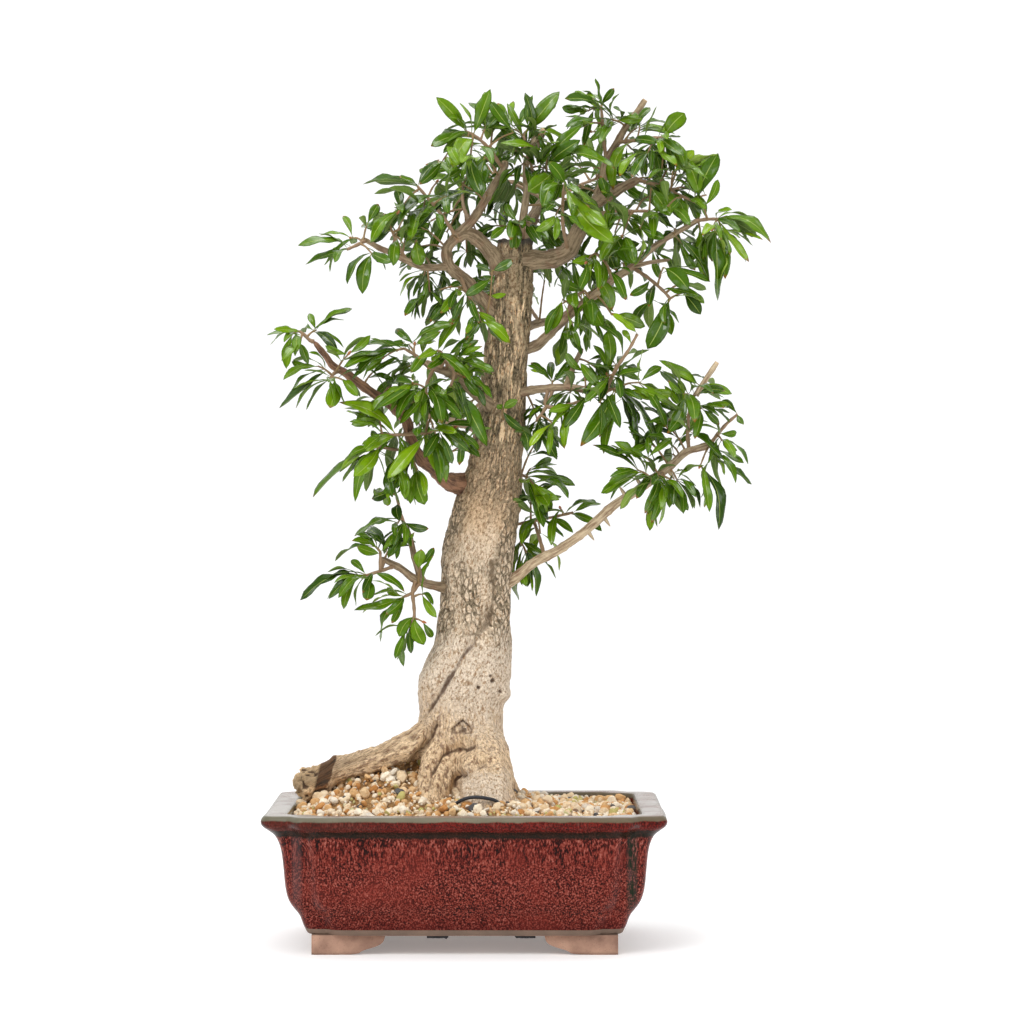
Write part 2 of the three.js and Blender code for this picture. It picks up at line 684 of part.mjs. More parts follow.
      [-29, -18, 237], [-30, -22, 218], [-32, -16, 256],
    ],
    leaves: [
      [-43, -18, 238, -77, -26, 226, 8], [-44, -20, 236, -51, -28, 217, 6],
      [-35, -16, 221, -29, -24, 202, 12], [-37, -16, 221, -46, -28, 208, 10],
      [-42, -20, 210, -43, -22, 187, 5], [-30, -16, 237, -20, -26, 221, 7],
      [-30, -22, 218, -23, -18, 207, 6], [-43, -18, 235, -55, -12, 241, 6],
      [-31, -16, 252, -31, -18, 268, 10], [-32, -16, 256, -22, -14, 269, 6],
    ],
  },
  left_low_top: {
    carrier: 'left_low',
    stems: [
      [[-42, -10, 283], [-45, -16, 292], [-48, -16, 305]],
    ],
    shoots: [
      [-54, -18, 308], [-47, -22, 286],
    ],
    leaves: [
      [-47, -16, 285, -77, -24, 277, 5], [-46, -16, 283, -50, -24, 270, 7],
      [-39, -16, 286, -26, -10, 282, 7], [-54, -18, 298, -46, -28, 288, 9],
      [-62, -16, 303, -54, -18, 298, 7], [-50, -14, 309, -65, -22, 303, 9],
      [-48, -14, 308, -40, -8, 320, 7],
    ],
  },
  back_low_left: {
    carrier: 'back_low',
    stems: [
      [[-21, 76, 359], [-32, 92, 364], [-38, 104, 368]],
    ],
    shoots: [
      [-23, 96, 348], [-35, 108, 352], [-46, 94, 374], [-26, 112, 376],
    ],
    leaves: [
      [-38, 104, 368, -61, 112, 377, 9], [-35, 108, 352, -50, 116, 329, 10],
      [-23, 96, 348, -16, 104, 323, 9], [-26, 112, 376, -29, 116, 399, 9],
    ],
  },
  back_low_right: {
    carrier: 'back_low',
    stems: [
      [[-1, 53, 356], [6, 80, 368], [13, 100, 377]],
    ],
    shoots: [
      [23, 90, 366], [6, 104, 386], [-4, 112, 368],
    ],
    leaves: [
      [13, 100, 377, 23, 112, 402, 9], [6, 104, 386, -9, 112, 406, 9], [23, 90, 366, 32, 100, 345, 9],
      [-4, 112, 368, -13, 118, 345, 9],
    ],
  },
  back_mid_right: {
    carrier: 'back_mid',
    stems: [
      [[66, 70, 432], [75, 88, 440], [83, 102, 446]],
    ],
    shoots: [
      [71, 84, 420], [93, 92, 449], [74, 104, 457], [89, 104, 433],
    ],
    leaves: [
      [83, 102, 446, 100, 110, 464, 9], [71, 84, 420, 64, 92, 398, 9], [89, 104, 433, 109, 112, 422, 9],
      [74, 104, 457, 64, 110, 475, 9],
    ],
  },
  back_mid_left: {
    carrier: 'back_mid',
    stems: [
      [[52, 50, 428], [45, 72, 439], [39, 90, 449]],
    ],
    shoots: [
      [31, 84, 441], [41, 96, 461], [26, 106, 457],
    ],
    leaves: [
      [39, 90, 449, 25, 98, 469, 9], [31, 84, 441, 13, 92, 433, 9], [41, 96, 461, 52, 104, 479, 9],
      [26, 106, 457, 7, 110, 461, 9],
    ],
  },
  back_top_right: {
    carrier: 'back_top',
    stems: [
      [[66, 66, 519], [81, 82, 528], [94, 94, 534]],
    ],
    shoots: [
      [84, 88, 515], [100, 80, 542], [112, 94, 529], [89, 98, 546],
    ],
    leaves: [
      [94, 94, 534, 118, 104, 545, 10], [84, 88, 515, 89, 98, 491, 10],
      [112, 94, 529, 134, 100, 519, 9], [89, 98, 546, 84, 102, 567, 9],
    ],
  },
  back_top_left: {
    carrier: 'back_top',
    stems: [
      [[55, 51, 515], [36, 70, 527], [19, 88, 535]],
    ],
    shoots: [
      [6, 80, 527], [23, 86, 548], [31, 98, 522], [9, 98, 548],
    ],
    leaves: [
      [19, 88, 535, -4, 98, 545, 10], [6, 80, 527, -11, 92, 510, 10], [23, 86, 548, 29, 92, 570, 9],
      [31, 98, 522, 25, 104, 497, 9],
    ],
  },
};

// Joining and cutting: a geometry becomes a solid, and a solid becomes a geometry again.
function toSolid(geometry) {
  const bare = geometry.clone();
  for (const name of Object.keys(bare.attributes)) {
    if (name !== 'position') bare.deleteAttribute(name);
  }
  const merged = mergeVertices(bare, 1e-4);
  const mesh = new wasm.Mesh({
    numProp: 3,
    vertProperties: new Float32Array(merged.attributes.position.array),
    triVerts: new Uint32Array(merged.index.array),
  });
  return new wasm.Manifold(mesh);
}

function toGeometry(solid) {
  const mesh = solid.getMesh();
  const geometry = new THREE.BufferGeometry();
  geometry.setAttribute('position', new THREE.BufferAttribute(mesh.vertProperties, 3));
  geometry.setIndex(new THREE.BufferAttribute(mesh.triVerts, 1));
  geometry.computeVertexNormals();
  return geometry;
}

function joined(solids) {
  return solids.reduce((whole, solid) => whole.add(solid));
}

// The one body that is left of a stem once its carrier has been cut away from it.
function mainBody(solid) {
  const bodies = solid.decompose();
  bodies.sort((a, b) => b.volume() - a.volume());
  return bodies[0];
}

// A closed skin over rings of equal length, with a flat fan at each end.
function loft(rings) {
  const count = rings[0].length;
  const points = rings.flat();
  const ends = [rings[0], rings[rings.length - 1]];
  for (const ring of ends) {
    const middle = new THREE.Vector3();
    ring.forEach((point) => middle.addScaledVector(point, 1 / count));
    points.push(middle);
  }
  const faces = [];
  for (let level = 0; level + 1 < rings.length; level += 1) {
    for (let side = 0; side < count; side += 1) {
      const next = (side + 1) % count;
      const low = level * count;
      const high = low + count;
      faces.push(low + side, low + next, high + next);
      faces.push(low + side, high + next, high + side);
    }
  }
  const firstMiddle = points.length - 2;
  const lastMiddle = points.length - 1;
  const lastRing = (rings.length - 1) * count;
  for (let side = 0; side < count; side += 1) {
    const next = (side + 1) % count;
    faces.push(firstMiddle, next, side);
    faces.push(lastMiddle, lastRing + side, lastRing + next);
  }
  return closedGeometry(points, faces);
}

function closedGeometry(points, faces) {
  let volume = 0;
  for (let i = 0; i < faces.length; i += 3) {
    const [a, b, c] = [points[faces[i]], points[faces[i + 1]], points[faces[i + 2]]];
    volume += a.dot(new THREE.Vector3().crossVectors(b, c));
  }
  const outward = volume < 0 ? faces.slice().reverse() : faces;
  const geometry = new THREE.BufferGeometry();
  geometry.setFromPoints(points);
  geometry.setIndex(outward);
  return geometry;
}

// A round limb along a line of [x, y, z, radius], made thicker and longer by grow.
function limb(line, sides, grow = 0) {
  const centres = line.map(([x, y, z]) => new THREE.Vector3(x, y, z));
  const start = centres[1].clone().sub(centres[0]).normalize();
  const end = centres[centres.length - 1].clone().sub(centres[centres.length - 2]).normalize();
  centres[0].addScaledVector(start, -grow);
  centres[centres.length - 1].addScaledVector(end, grow);
  const across = new THREE.Vector3(Math.abs(start.y) > 0.9 ? 1 : 0, Math.abs(start.y) > 0.9 ? 0 : 1, 0);
  const rings = centres.map((centre, i) => {
    const before = centres[Math.max(i - 1, 0)];
    const after = centres[Math.min(i + 1, centres.length - 1)];
    const along = after.clone().sub(before).normalize();
    across.addScaledVector(along, -across.dot(along)).normalize();
    const other = new THREE.Vector3().crossVectors(along, across);
    const radius = line[i][3] + grow;
    return Array.from({ length: sides }, (_, side) => {
      const angle = (2 * Math.PI * side) / sides;
      return centre.clone()
        .addScaledVector(across, radius * Math.cos(angle))
        .addScaledVector(other, radius * Math.sin(angle));
    });
  });
  return toSolid(loft(rings));
}

// A quarter of the pot's outline, from the middle of the front face to the middle of the right side.
function quarterOutline(inset) {
  const width = POT_HALF_WIDTH - inset;
  const depth = POT_HALF_DEPTH - inset;
  const lobe = LOBE_WIDTH - 0.1 * inset;
  const setback = LOBE_SETBACK - 0.12 * inset;
  const notch = width - lobe;
  const quarter = [[0, -depth], [notch - FACE_ROUNDING, -depth]];
  quarter.push([notch - FACE_ROUNDING * 0.35, -depth + setback * 0.25]);
  quarter.push([notch, -depth + setback * 0.8]);
  quarter.push([notch + 3, -depth + setback]);
  const steps = 3;
  for (let step = 0; step <= steps; step += 1) {
    const angle = (Math.PI / 2) * (step / steps);
    const x = width - LOBE_RADIUS + LOBE_RADIUS * Math.sin(angle);
    const y = -depth + setback + LOBE_RADIUS - LOBE_RADIUS * Math.cos(angle);
    quarter.push([x, y]);
  }
  quarter.push([width, -depth * 0.4]);
  return quarter;
}

function outlineRing(inset, height) {
  const right = quarterOutline(inset);
  const rightBack = right.map(([x, y]) => [x, -y]).reverse();
  const halfRight = [...right, ...rightBack.slice(0, -1)];
  const halfLeft = halfRight.map(([x, y]) => [-x, -y]);
  return [...halfRight, ...halfLeft].map(([x, y]) => new THREE.Vector3(x, y, height));
}

function post(radius, x, y, low, high) {
  const geometry = new THREE.CylinderGeometry(radius, radius, high - low, 12);
  geometry.rotateX(Math.PI / 2);
  geometry.translate(x, y, (low + high) / 2);
  return toSolid(geometry);
}

// One arm of a corner foot, drawn from the corner towards the middle with an ogee end.
function footArm(reach, stepReach) {
  const shape = new THREE.Shape();
  shape.moveTo(0, FLOOR_UNDER + 0.6);
  shape.lineTo(0, TABLE + 1.5);
  shape.lineTo(1.5, TABLE);
  shape.lineTo(stepReach, TABLE);
  shape.lineTo(stepReach + 3.5, TABLE + 3);
  shape.lineTo(stepReach + 13, TABLE + 5.5);
  shape.lineTo(reach - 1, TABLE + 8.5);
  shape.lineTo(reach, FLOOR_UNDER + 0.6);
  const geometry = new THREE.ExtrudeGeometry(shape, { depth: FOOT_BAND, bevelEnabled: false });
  geometry.rotateX(Math.PI / 2);
  return geometry;
}

function foot(signX, signY) {
  const front = footArm(FOOT_REACH, FOOT_STEP_REACH);
  front.translate(0, FOOT_BAND, 0);
  const side = footArm(FOOT_REACH * 0.72, FOOT_STEP_REACH * 0.72);
  side.rotateZ(Math.PI / 2);
  const corner = toSolid(front).add(toSolid(side));
  const place = new THREE.Matrix4().makeTranslation(
    -(POT_HALF_WIDTH - FOOT_INSET), -(POT_HALF_DEPTH - FOOT_INSET - 2), 0,
  );
  const turned = new THREE.Matrix4().makeScale(-signX, -signY, 1).multiply(place);
  return corner.transform(turned.elements);
}

function makePot() {
  const rings = [...POT_OUTSIDE, ...POT_INSIDE].map(([height, inset]) => outlineRing(inset, height));
  let pot = toSolid(loft(rings));
  for (const signX of [-1, 1]) {
    for (const signY of [-1, 1]) pot = pot.add(foot(signX, signY));
  }
  const low = FLOOR_UNDER - 3;
  const high = FLOOR_TOP + 3;
  for (const x of [-DRAIN_HOLE_X, DRAIN_HOLE_X]) {
    pot = pot.subtract(post(DRAIN_HOLE_RADIUS, x, 0, low, high));
  }
  for (const [x, y] of TIE_WIRE_HOLES) {
    pot = pot.subtract(post(TIE_WIRE_HOLE_RADIUS, x, y, low, high));
  }
  return pot;
}

function soilHeight(x, y) {
  return SOIL_HEAPS.reduce((height, [heapX, heapY, added, reachX, reachY]) => {
    const away = ((x - heapX) / reachX) ** 2 + ((y - heapY) / reachY) ** 2;
    return height + added * Math.exp(-away);
  }, SOIL_EDGE_HEIGHT);
}

function makeSoil(cutters) {
  const walls = POT_INSIDE.slice(2).reverse();
  const rings = walls.map(([height, inset]) => outlineRing(inset + FIT_GAP + 0.1, height + FIT_GAP));
  const edge = outlineRing(POT_INSIDE[1][1] + 0.9, SOIL_EDGE_HEIGHT - 1);
  for (const share of SOIL_RINGS) {
    rings.push(edge.map((point) => {
      const [x, y] = [point.x * share, point.y * share];
      return new THREE.Vector3(x, y, share === 1 ? SOIL_EDGE_HEIGHT : soilHeight(x, y));
    }));
  }
  return cutters.reduce((soil, cutter) => soil.subtract(cutter), toSolid(loft(rings)));
}

function trunkSolid(grow) {
  const top = TRUNK_LEVELS.length - 1;
  const rings = TRUNK_LEVELS.map(([height, x, y, across, deep], level) => {
    const lift = (level === top ? grow : 0) - (level === 0 ? grow : 0);
    return Array.from({ length: TRUNK_SIDES }, (_, side) => {
      const angle = (2 * Math.PI * side) / TRUNK_SIDES;
      const outX = (across + grow) * Math.cos(angle);
      const outY = (deep + grow) * Math.sin(angle);
      return new THREE.Vector3(x + outX, y + outY, height + lift);
    });
  });
  const roots = Object.values(ROOTS).map((line) => limb(line, ROOT_SIDES, grow));
  return joined([toSolid(loft(rings)), ...roots]);
}

function tieWire(grow) {
  return limb(TIE_WIRE_ROUTE.map(([x, y, z]) => [x, y, z, TIE_WIRE_RADIUS]), 8, grow);
}

function plate(size, x, y, low, high) {
  const geometry = new THREE.BoxGeometry(size, size, high - low);
  geometry.translate(x, y, (low + high) / 2);
  return toSolid(geometry);
}

function makeScreen(x) {
  const low = FLOOR_TOP + FIT_GAP;
  const high = low + SCREEN_THICKNESS;
  const pitch = SCREEN_SIZE / SCREEN_CELLS;
  let screen = plate(SCREEN_SIZE, x, 0, low, high);
  for (let i = 0; i < SCREEN_CELLS; i += 1) {
    for (let j = 0; j < SCREEN_CELLS; j += 1) {
      const cellX = x + (i + 0.5) * pitch - SCREEN_SIZE / 2;
      const cellY = (j + 0.5) * pitch - SCREEN_SIZE / 2;
      screen = screen.subtract(plate(pitch * SCREEN_OPEN_SHARE, cellX, cellY, low - 1, high + 1));
    }
  }
  return screen;
}

// The room that a screen takes up in the soil.
function screenRoom(x) {
  const high = FLOOR_TOP + 2 * FIT_GAP + SCREEN_THICKNESS;
  return plate(SCREEN_SIZE + 2 * FIT_GAP, x, 0, FLOOR_TOP - 2, high);
}

// Branches are cut where they enter the trunk or an earlier branch, so that wood meets wood.
function makeBranches(trunkRoom) {
  const branches = {};
  const rooms = [trunkRoom];
  for (const [name, lines] of Object.entries(BRANCHES)) {
    const whole = joined(lines.map((line) => limb(line, BRANCH_SIDES)));
    branches[name] = mainBody(rooms.reduce((left, room) => left.subtract(room), whole));
    rooms.push(joined(lines.map((line) => limb(line, BRANCH_SIDES, FIT_GAP))));
  }
  return { branches, rooms };
}

// A blade with a keel under it: base, tip, two edges and the keel. Its base is sunk in its perch.
function leafSolid(perch, tip, seenWidth) {
  const along = tip.clone().sub(perch).normalize();
  const base = perch.clone().addScaledVector(along, -LEAF_ROOT);
  const length = tip.distanceTo(base);
  const facing = new THREE.Vector3(0, base.y > BACK_LEAVES_FROM ? 1 : -1, 0);
  facing.addScaledVector(along, -facing.dot(along)).normalize();
  const upper = new THREE.Vector3().crossVectors(along, facing);
  if (upper.z < 0) upper.negate();
  const width = Math.max(seenWidth, length * LEAF_WIDTH_SHARE);
  const roll = Math.acos(Math.min(1, seenWidth / width));
  const normal = facing.multiplyScalar(Math.cos(roll)).addScaledVector(upper, Math.sin(roll));
  const side = new THREE.Vector3().crossVectors(along, normal);
  const middle = base.clone().addScaledVector(along, length * WIDEST_AT);
  const points = [
    base,
    tip,
    middle.clone().addScaledVector(side, width / 2),
    middle.clone().addScaledVector(side, -width / 2),
    middle.clone().addScaledVector(normal, -LEAF_KEEL),
  ];
  const [root, end, left, right, keel] = [0, 1, 2, 3, 4];
  const faces = [
    root, left, right, end, right, left,
    root, keel, left, root, right, keel, end, left, keel, end, keel, right,
  ];
  return toSolid(closedGeometry(points, faces));
}

const vector = ([x, y, z]) => new THREE.Vector3(x, y, z);

// The nearest place to a point on a spray's stems, away from their joints and ends.
function nearestOnStems(stems, point) {
  let best = null;
  for (const stem of stems) {
    stem.slice(1).forEach((end, i) => {
      const from = vector(stem[i]);
      const along = vector(end).sub(from);
      const share = point.clone().sub(from).dot(along) / along.lengthSq();
      const least = i === 0 ? FIRST_SHOOT_AT : 0.15;
      const place = from.addScaledVector(along, THREE.MathUtils.clamp(share, least, 0.85));
      if (!best || place.distanceTo(point) < best.distanceTo(point)) best = place;
    });
  }
  return best;
}

// The nearest perch to a point, moved back along its stem for each leaf that already sits there.
function takePerch(perches, point) {
  const best = perches.reduce((near, perch) => (
    perch.place.distanceTo(point) < near.place.distanceTo(point) ? perch : near
  ));
  const back = best.start.clone().sub(best.place);
  const share = Math.min(0.7, (best.taken * LEAF_SPACING) / back.length());
  best.taken += 1;
  return best.place.clone().addScaledVector(back, share);
}

function boxesMeet(a, b, gap) {
  const [first, second] = [a.boundingBox(), b.boundingBox()];
  return [0, 1, 2].every((axis) => (
    first.min[axis] - gap < second.max[axis] && second.min[axis] - gap < first.max[axis]
  ));
}

function isClear(solid, others) {
  return others.every((other) => (
    !boxesMeet(solid, other, FIT_GAP) || solid.minGap(other, FIT_GAP) > FIT_GAP * 0.9
  ));
}

function crossesOwn(solid, own) {
  return own.some((leaf) => boxesMeet(solid, leaf, 0) && solid.intersect(leaf).volume() > CROSSING_VOLUME);
}

// The first of a few slightly swung copies that is clear of the other pieces, best where it also
// crosses no leaf of its own spray, or null.
function firstClear(make, others, own) {
  const copies = SWINGS.map(make).filter((copy) => isClear(copy.solid, others));
  return copies.find((copy) => !crossesOwn(copy.solid, own)) ?? copies[0] ?? null;
}

function stemLine(stem) {
  const last = stem.length - 1;
  return stem.map(([x, y, z], i) => (
    [x, y, z, STEM_RADIUS + (STEM_TIP_RADIUS - STEM_RADIUS) * (i / last)]
  ));
}

// A side shoot from its stem to its tip, with the place on it where its first leaf sits.
function shootSolid(from, tip, swing) {
  const end = tip.clone().add(new THREE.Vector3(0, swing, swing / 2));
  const along = end.clone().sub(from).normalize();
  const line = [[...from.toArray(), SHOOT_RADIUS], [...end.toArray(), SHOOT_RADIUS]];
  return { solid: limb(line, SHOOT_SIDES), perch: end.addScaledVector(along, -PERCH_DEPTH) };
}

function makeSprays(fixed, rooms) {
  const sprays = {};
  const rest = {};
  for (const [name, spray] of Object.entries(SPRAYS)) {
    const whole = joined(spray.stems.map((stem) => limb(stemLine(stem), STEM_SIDES)));
    rest[name] = mainBody(rooms.reduce((left, room) => left.subtract(room), whole));
  }
  const names = Object.keys(SPRAYS);
  names.forEach((name) => {
    const spray = SPRAYS[name];
    const others = [...fixed, ...names.filter((other) => other !== name).map((other) => rest[other])];
    const perches = spray.stems.flatMap((stem) => stem.slice(1).map((place, i) => (
      { place: vector(place), start: vector(stem[i]), taken: 0 }
    )));
    const leaves = [];
    let whole = rest[name];
    for (const place of spray.shoots) {
      const tip = vector(place);
      const from = nearestOnStems(spray.stems, tip);
      const shoot = firstClear((swing) => shootSolid(from, tip, swing), others, leaves);
      if (shoot) {
        whole = whole.add(shoot.solid);
        perches.push({ place: shoot.perch, start: from, taken: 0 });
      }
    }
    for (const [x, y, z, tipX, tipY, tipZ, seenWidth] of spray.leaves) {
      const perch = takePerch(perches, new THREE.Vector3(x, y, z));
      const leaf = firstClear(
        (swing) => ({ solid: leafSolid(perch, new THREE.Vector3(tipX, tipY + swing, tipZ), seenWidth) }),
        others,
        leaves,
      );
      if (leaf) leaves.push(leaf.solid);
    }
    rest[name] = mainBody(joined([whole, ...leaves]));
    sprays[name] = rest[name];
  });
  return sprays;
}

const group = new THREE.Group();

function show(name, solid, finish) {
  const mesh = new THREE.Mesh(toGeometry(solid), new THREE.MeshStandardMaterial(FINISHES[finish]));
  mesh.name = name;
  group.add(mesh);
}

const wireRoom = tieWire(FIT_GAP);
const trunkRoom = trunkSolid(FIT_GAP);
const pot = makePot();
const trunk = trunkSolid(0).subtract(wireRoom);
const screens = { left: -DRAIN_HOLE_X, right: DRAIN_HOLE_X };
const soil = makeSoil([trunkRoom, wireRoom, ...Object.values(screens).map(screenRoom)]);
const { branches, rooms } = makeBranches(trunkRoom);
const sprays = makeSprays([pot, soil, trunk, ...Object.values(branches)], rooms);

show('pot', pot, 'glaze');
show('soil', soil, 'soil');
show('trunk', trunk, 'bark');
show('tie_down_wire', tieWire(0), 'sleeved_wire');
for (const [side, x] of Object.entries(screens)) show(`drain_screen_${side}`, makeScreen(x), 'screen');
for (const [name, solid] of Object.entries(branches)) show(`branch_${name}`, solid, 'branch_bark');
for (const [name, solid] of Object.entries(sprays)) show(`spray_${name}`, solid, 'leaf');

// The origin is the middle of the whole outline at table height.
const outline = new THREE.Box3().setFromObject(group);
const middle = outline.getCenter(new THREE.Vector3());
group.position.set(-middle.x, -middle.y, -outline.min.z);

export default group;
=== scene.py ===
import math

import bmesh
import bpy
import numpy as np
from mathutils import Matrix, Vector
from mathutils.bvhtree import BVHTree


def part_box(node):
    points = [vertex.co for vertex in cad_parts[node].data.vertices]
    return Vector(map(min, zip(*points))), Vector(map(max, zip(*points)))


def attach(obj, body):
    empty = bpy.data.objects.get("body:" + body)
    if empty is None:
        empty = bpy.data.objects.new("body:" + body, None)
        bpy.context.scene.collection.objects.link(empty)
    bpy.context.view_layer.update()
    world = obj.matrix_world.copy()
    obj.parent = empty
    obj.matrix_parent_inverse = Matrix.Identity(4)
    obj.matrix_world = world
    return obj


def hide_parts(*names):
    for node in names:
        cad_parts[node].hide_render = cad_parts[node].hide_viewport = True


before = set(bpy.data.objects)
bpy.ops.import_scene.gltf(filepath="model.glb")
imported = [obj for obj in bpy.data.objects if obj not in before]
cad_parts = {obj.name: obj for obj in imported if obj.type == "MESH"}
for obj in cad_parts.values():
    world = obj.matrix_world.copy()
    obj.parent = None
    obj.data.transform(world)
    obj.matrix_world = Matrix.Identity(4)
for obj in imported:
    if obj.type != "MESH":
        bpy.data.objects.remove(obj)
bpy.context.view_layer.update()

bl_info = {
    "name": "Pomegranate bonsai",
    "version": (1, 0, 0),
    "blender": (4, 5, 0),
    "location": "3D View > Sidebar > Bonsai",
    "description": "Builds a pomegranate bonsai in its glazed pot, piece by piece",
    "category": "Add Mesh",
}

MM = 0.001
POT_LOW, POT_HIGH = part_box("pot")
TABLE = -6
POT_CENTRE = np.array([POT_LOW.x + POT_HIGH.x, POT_LOW.y + POT_HIGH.y, 0]) / 2 / MM - (0, 0, TABLE)

# The pot, in millimetres about its own centre; heights count from a level just above the table.
POT_HALF_WIDTH = 137.2
POT_HALF_DEPTH = 108.5
FLOOR_UNDER = 7
FLOOR_TOP = 15
LOBE_WIDTH = 20
LOBE_SETBACK = 10
LOBE_RADIUS = 9
GROOVE_REACH = 9
GROOVE_RUN = 12
FOOT_INSET = 33.2
FOOT_BAND = 16
FOOT_SIDE_SHARE = 0.72
FOOT_BEVEL = 2.2
UNGLAZED_BELOW = 11.2
# Where the painted shadow under the lip begins, and between which heights the lip turns red and then green.
LIP_SHADOW_FROM = 74.0
RED_LIP = (79.6, 81.6)
GREEN_LIP = (86.4, 87.8)
# Profiles from bottom to lip, and from lip to floor, as (z, inset from the widest outline).
POT_OUTSIDE = [
    (7, 34), (7.5, 30.2), (11, 28.6), (14, 27.2), (19.4, 25.5), (22.4, 23.8), (27.6, 19.7), (33, 17),
    (41, 15.3), (55, 14.2), (66, 13.0), (72, 11.2), (76.5, 9.0), (80, 4.8), (82.5, 1.4), (85.5, 0),
    (88.5, 0.8), (90, 2.6),
]
POT_INSIDE = [(90, 17), (88, 18.6), (62, 21.5), (40, 25), (23, 31), (15, 38)]
LIP_CROWN = [(90.5, 5.5), (90.5, 13)]
# A foot's end, as (reach from the corner, z).
FOOT_PROFILE = [(0, 7.6), (0, -4.5), (1.5, -6), (31, -6), (34.5, -3), (44, -0.5), (49, 2.5), (50, 7.6)]
DRAIN_HOLES = [(-62, 0, 10), (62, 0, 10)]
WIRE_HOLES = [(-12, -62, 3.5), (34.5, -62, 3.5)]

# The soil's surface: its height at the wall, and heaps as (x, y, added height, reach in x, reach in y).
SOIL_EDGE_HEIGHT = 84.5
SOIL_HEAPS = [(-62, -4, 26, 42, 42), (8, 2, 13, 58, 80)]
GRANULE_HEAPS = [
    (-10, -69, 6, 13, 11), (26, -69, 6, 13, 11), (9, -80, 3, 16, 8), (-36, 10, 17, 10, 13),
    (-104, 2, 7, 12, 14),
]
SOIL_INSET = 21
# The share of granules that are dark, and how far into the wood one may reach, in metres.
DARK_GRAINS = 0.04
GRAIN_IN_WOOD = 0.0006

# The tie-down wire's route and the drain screens.
TIE_WIRE_RADIUS = 1.2
TIE_WIRE_ROUTE = [
    (-26, -62, 5.1), (-14.5, -62, 5.2), (-12.2, -62, 7.5), (-11, -62, 40), (-10, -63, 70), (-9, -66, 88),
    (-6, -69, 96), (1, -72, 100), (8, -73, 101), (15, -73, 100.2), (21.5, -71, 98), (26, -67, 92),
    (29, -63, 78), (31, -62, 55), (33, -62, 30), (34.7, -62, 7.5), (37, -62, 5.2), (48, -62, 5.1),
]
SCREEN_SIZE = 34
SCREEN_STRAND = 0.5
SCREEN_CENTRE_Z = 16.05

# The trunk's centre line as (z, x, y), for the run of its grain.
TRUNK_LINE = [
    (70, 2, 0), (96, 0, -2), (130, -1, -1), (160, -3, 0), (200, 4, 1), (222, 5, 2), (259, 7, 3),
    (285, 12, 3), (326, 20, 3), (369, 26, 3), (415, 30, 3), (452, 32.5, 3), (484, 34, 3),
]
LEFT_ROOT_LINE = [
    (-14, -4, 142), (-37, -7, 131.4), (-60, -9, 122), (-83, -10, 116.2), (-97, -11, 111.6),
    (-111, -12, 106.0), (-121, -12, 102.5),
]

# Where the root turns up into the trunk, as (x, z), and the fold that parts the two lower down.
ROOT_BEND = (-24, 153)
ROOT_EDGE_Z = (100, 122.8, 129.1, 136.6, 144.9, 156)
ROOT_EDGE_X = (-40, -36, -30, -26, -22, -17)

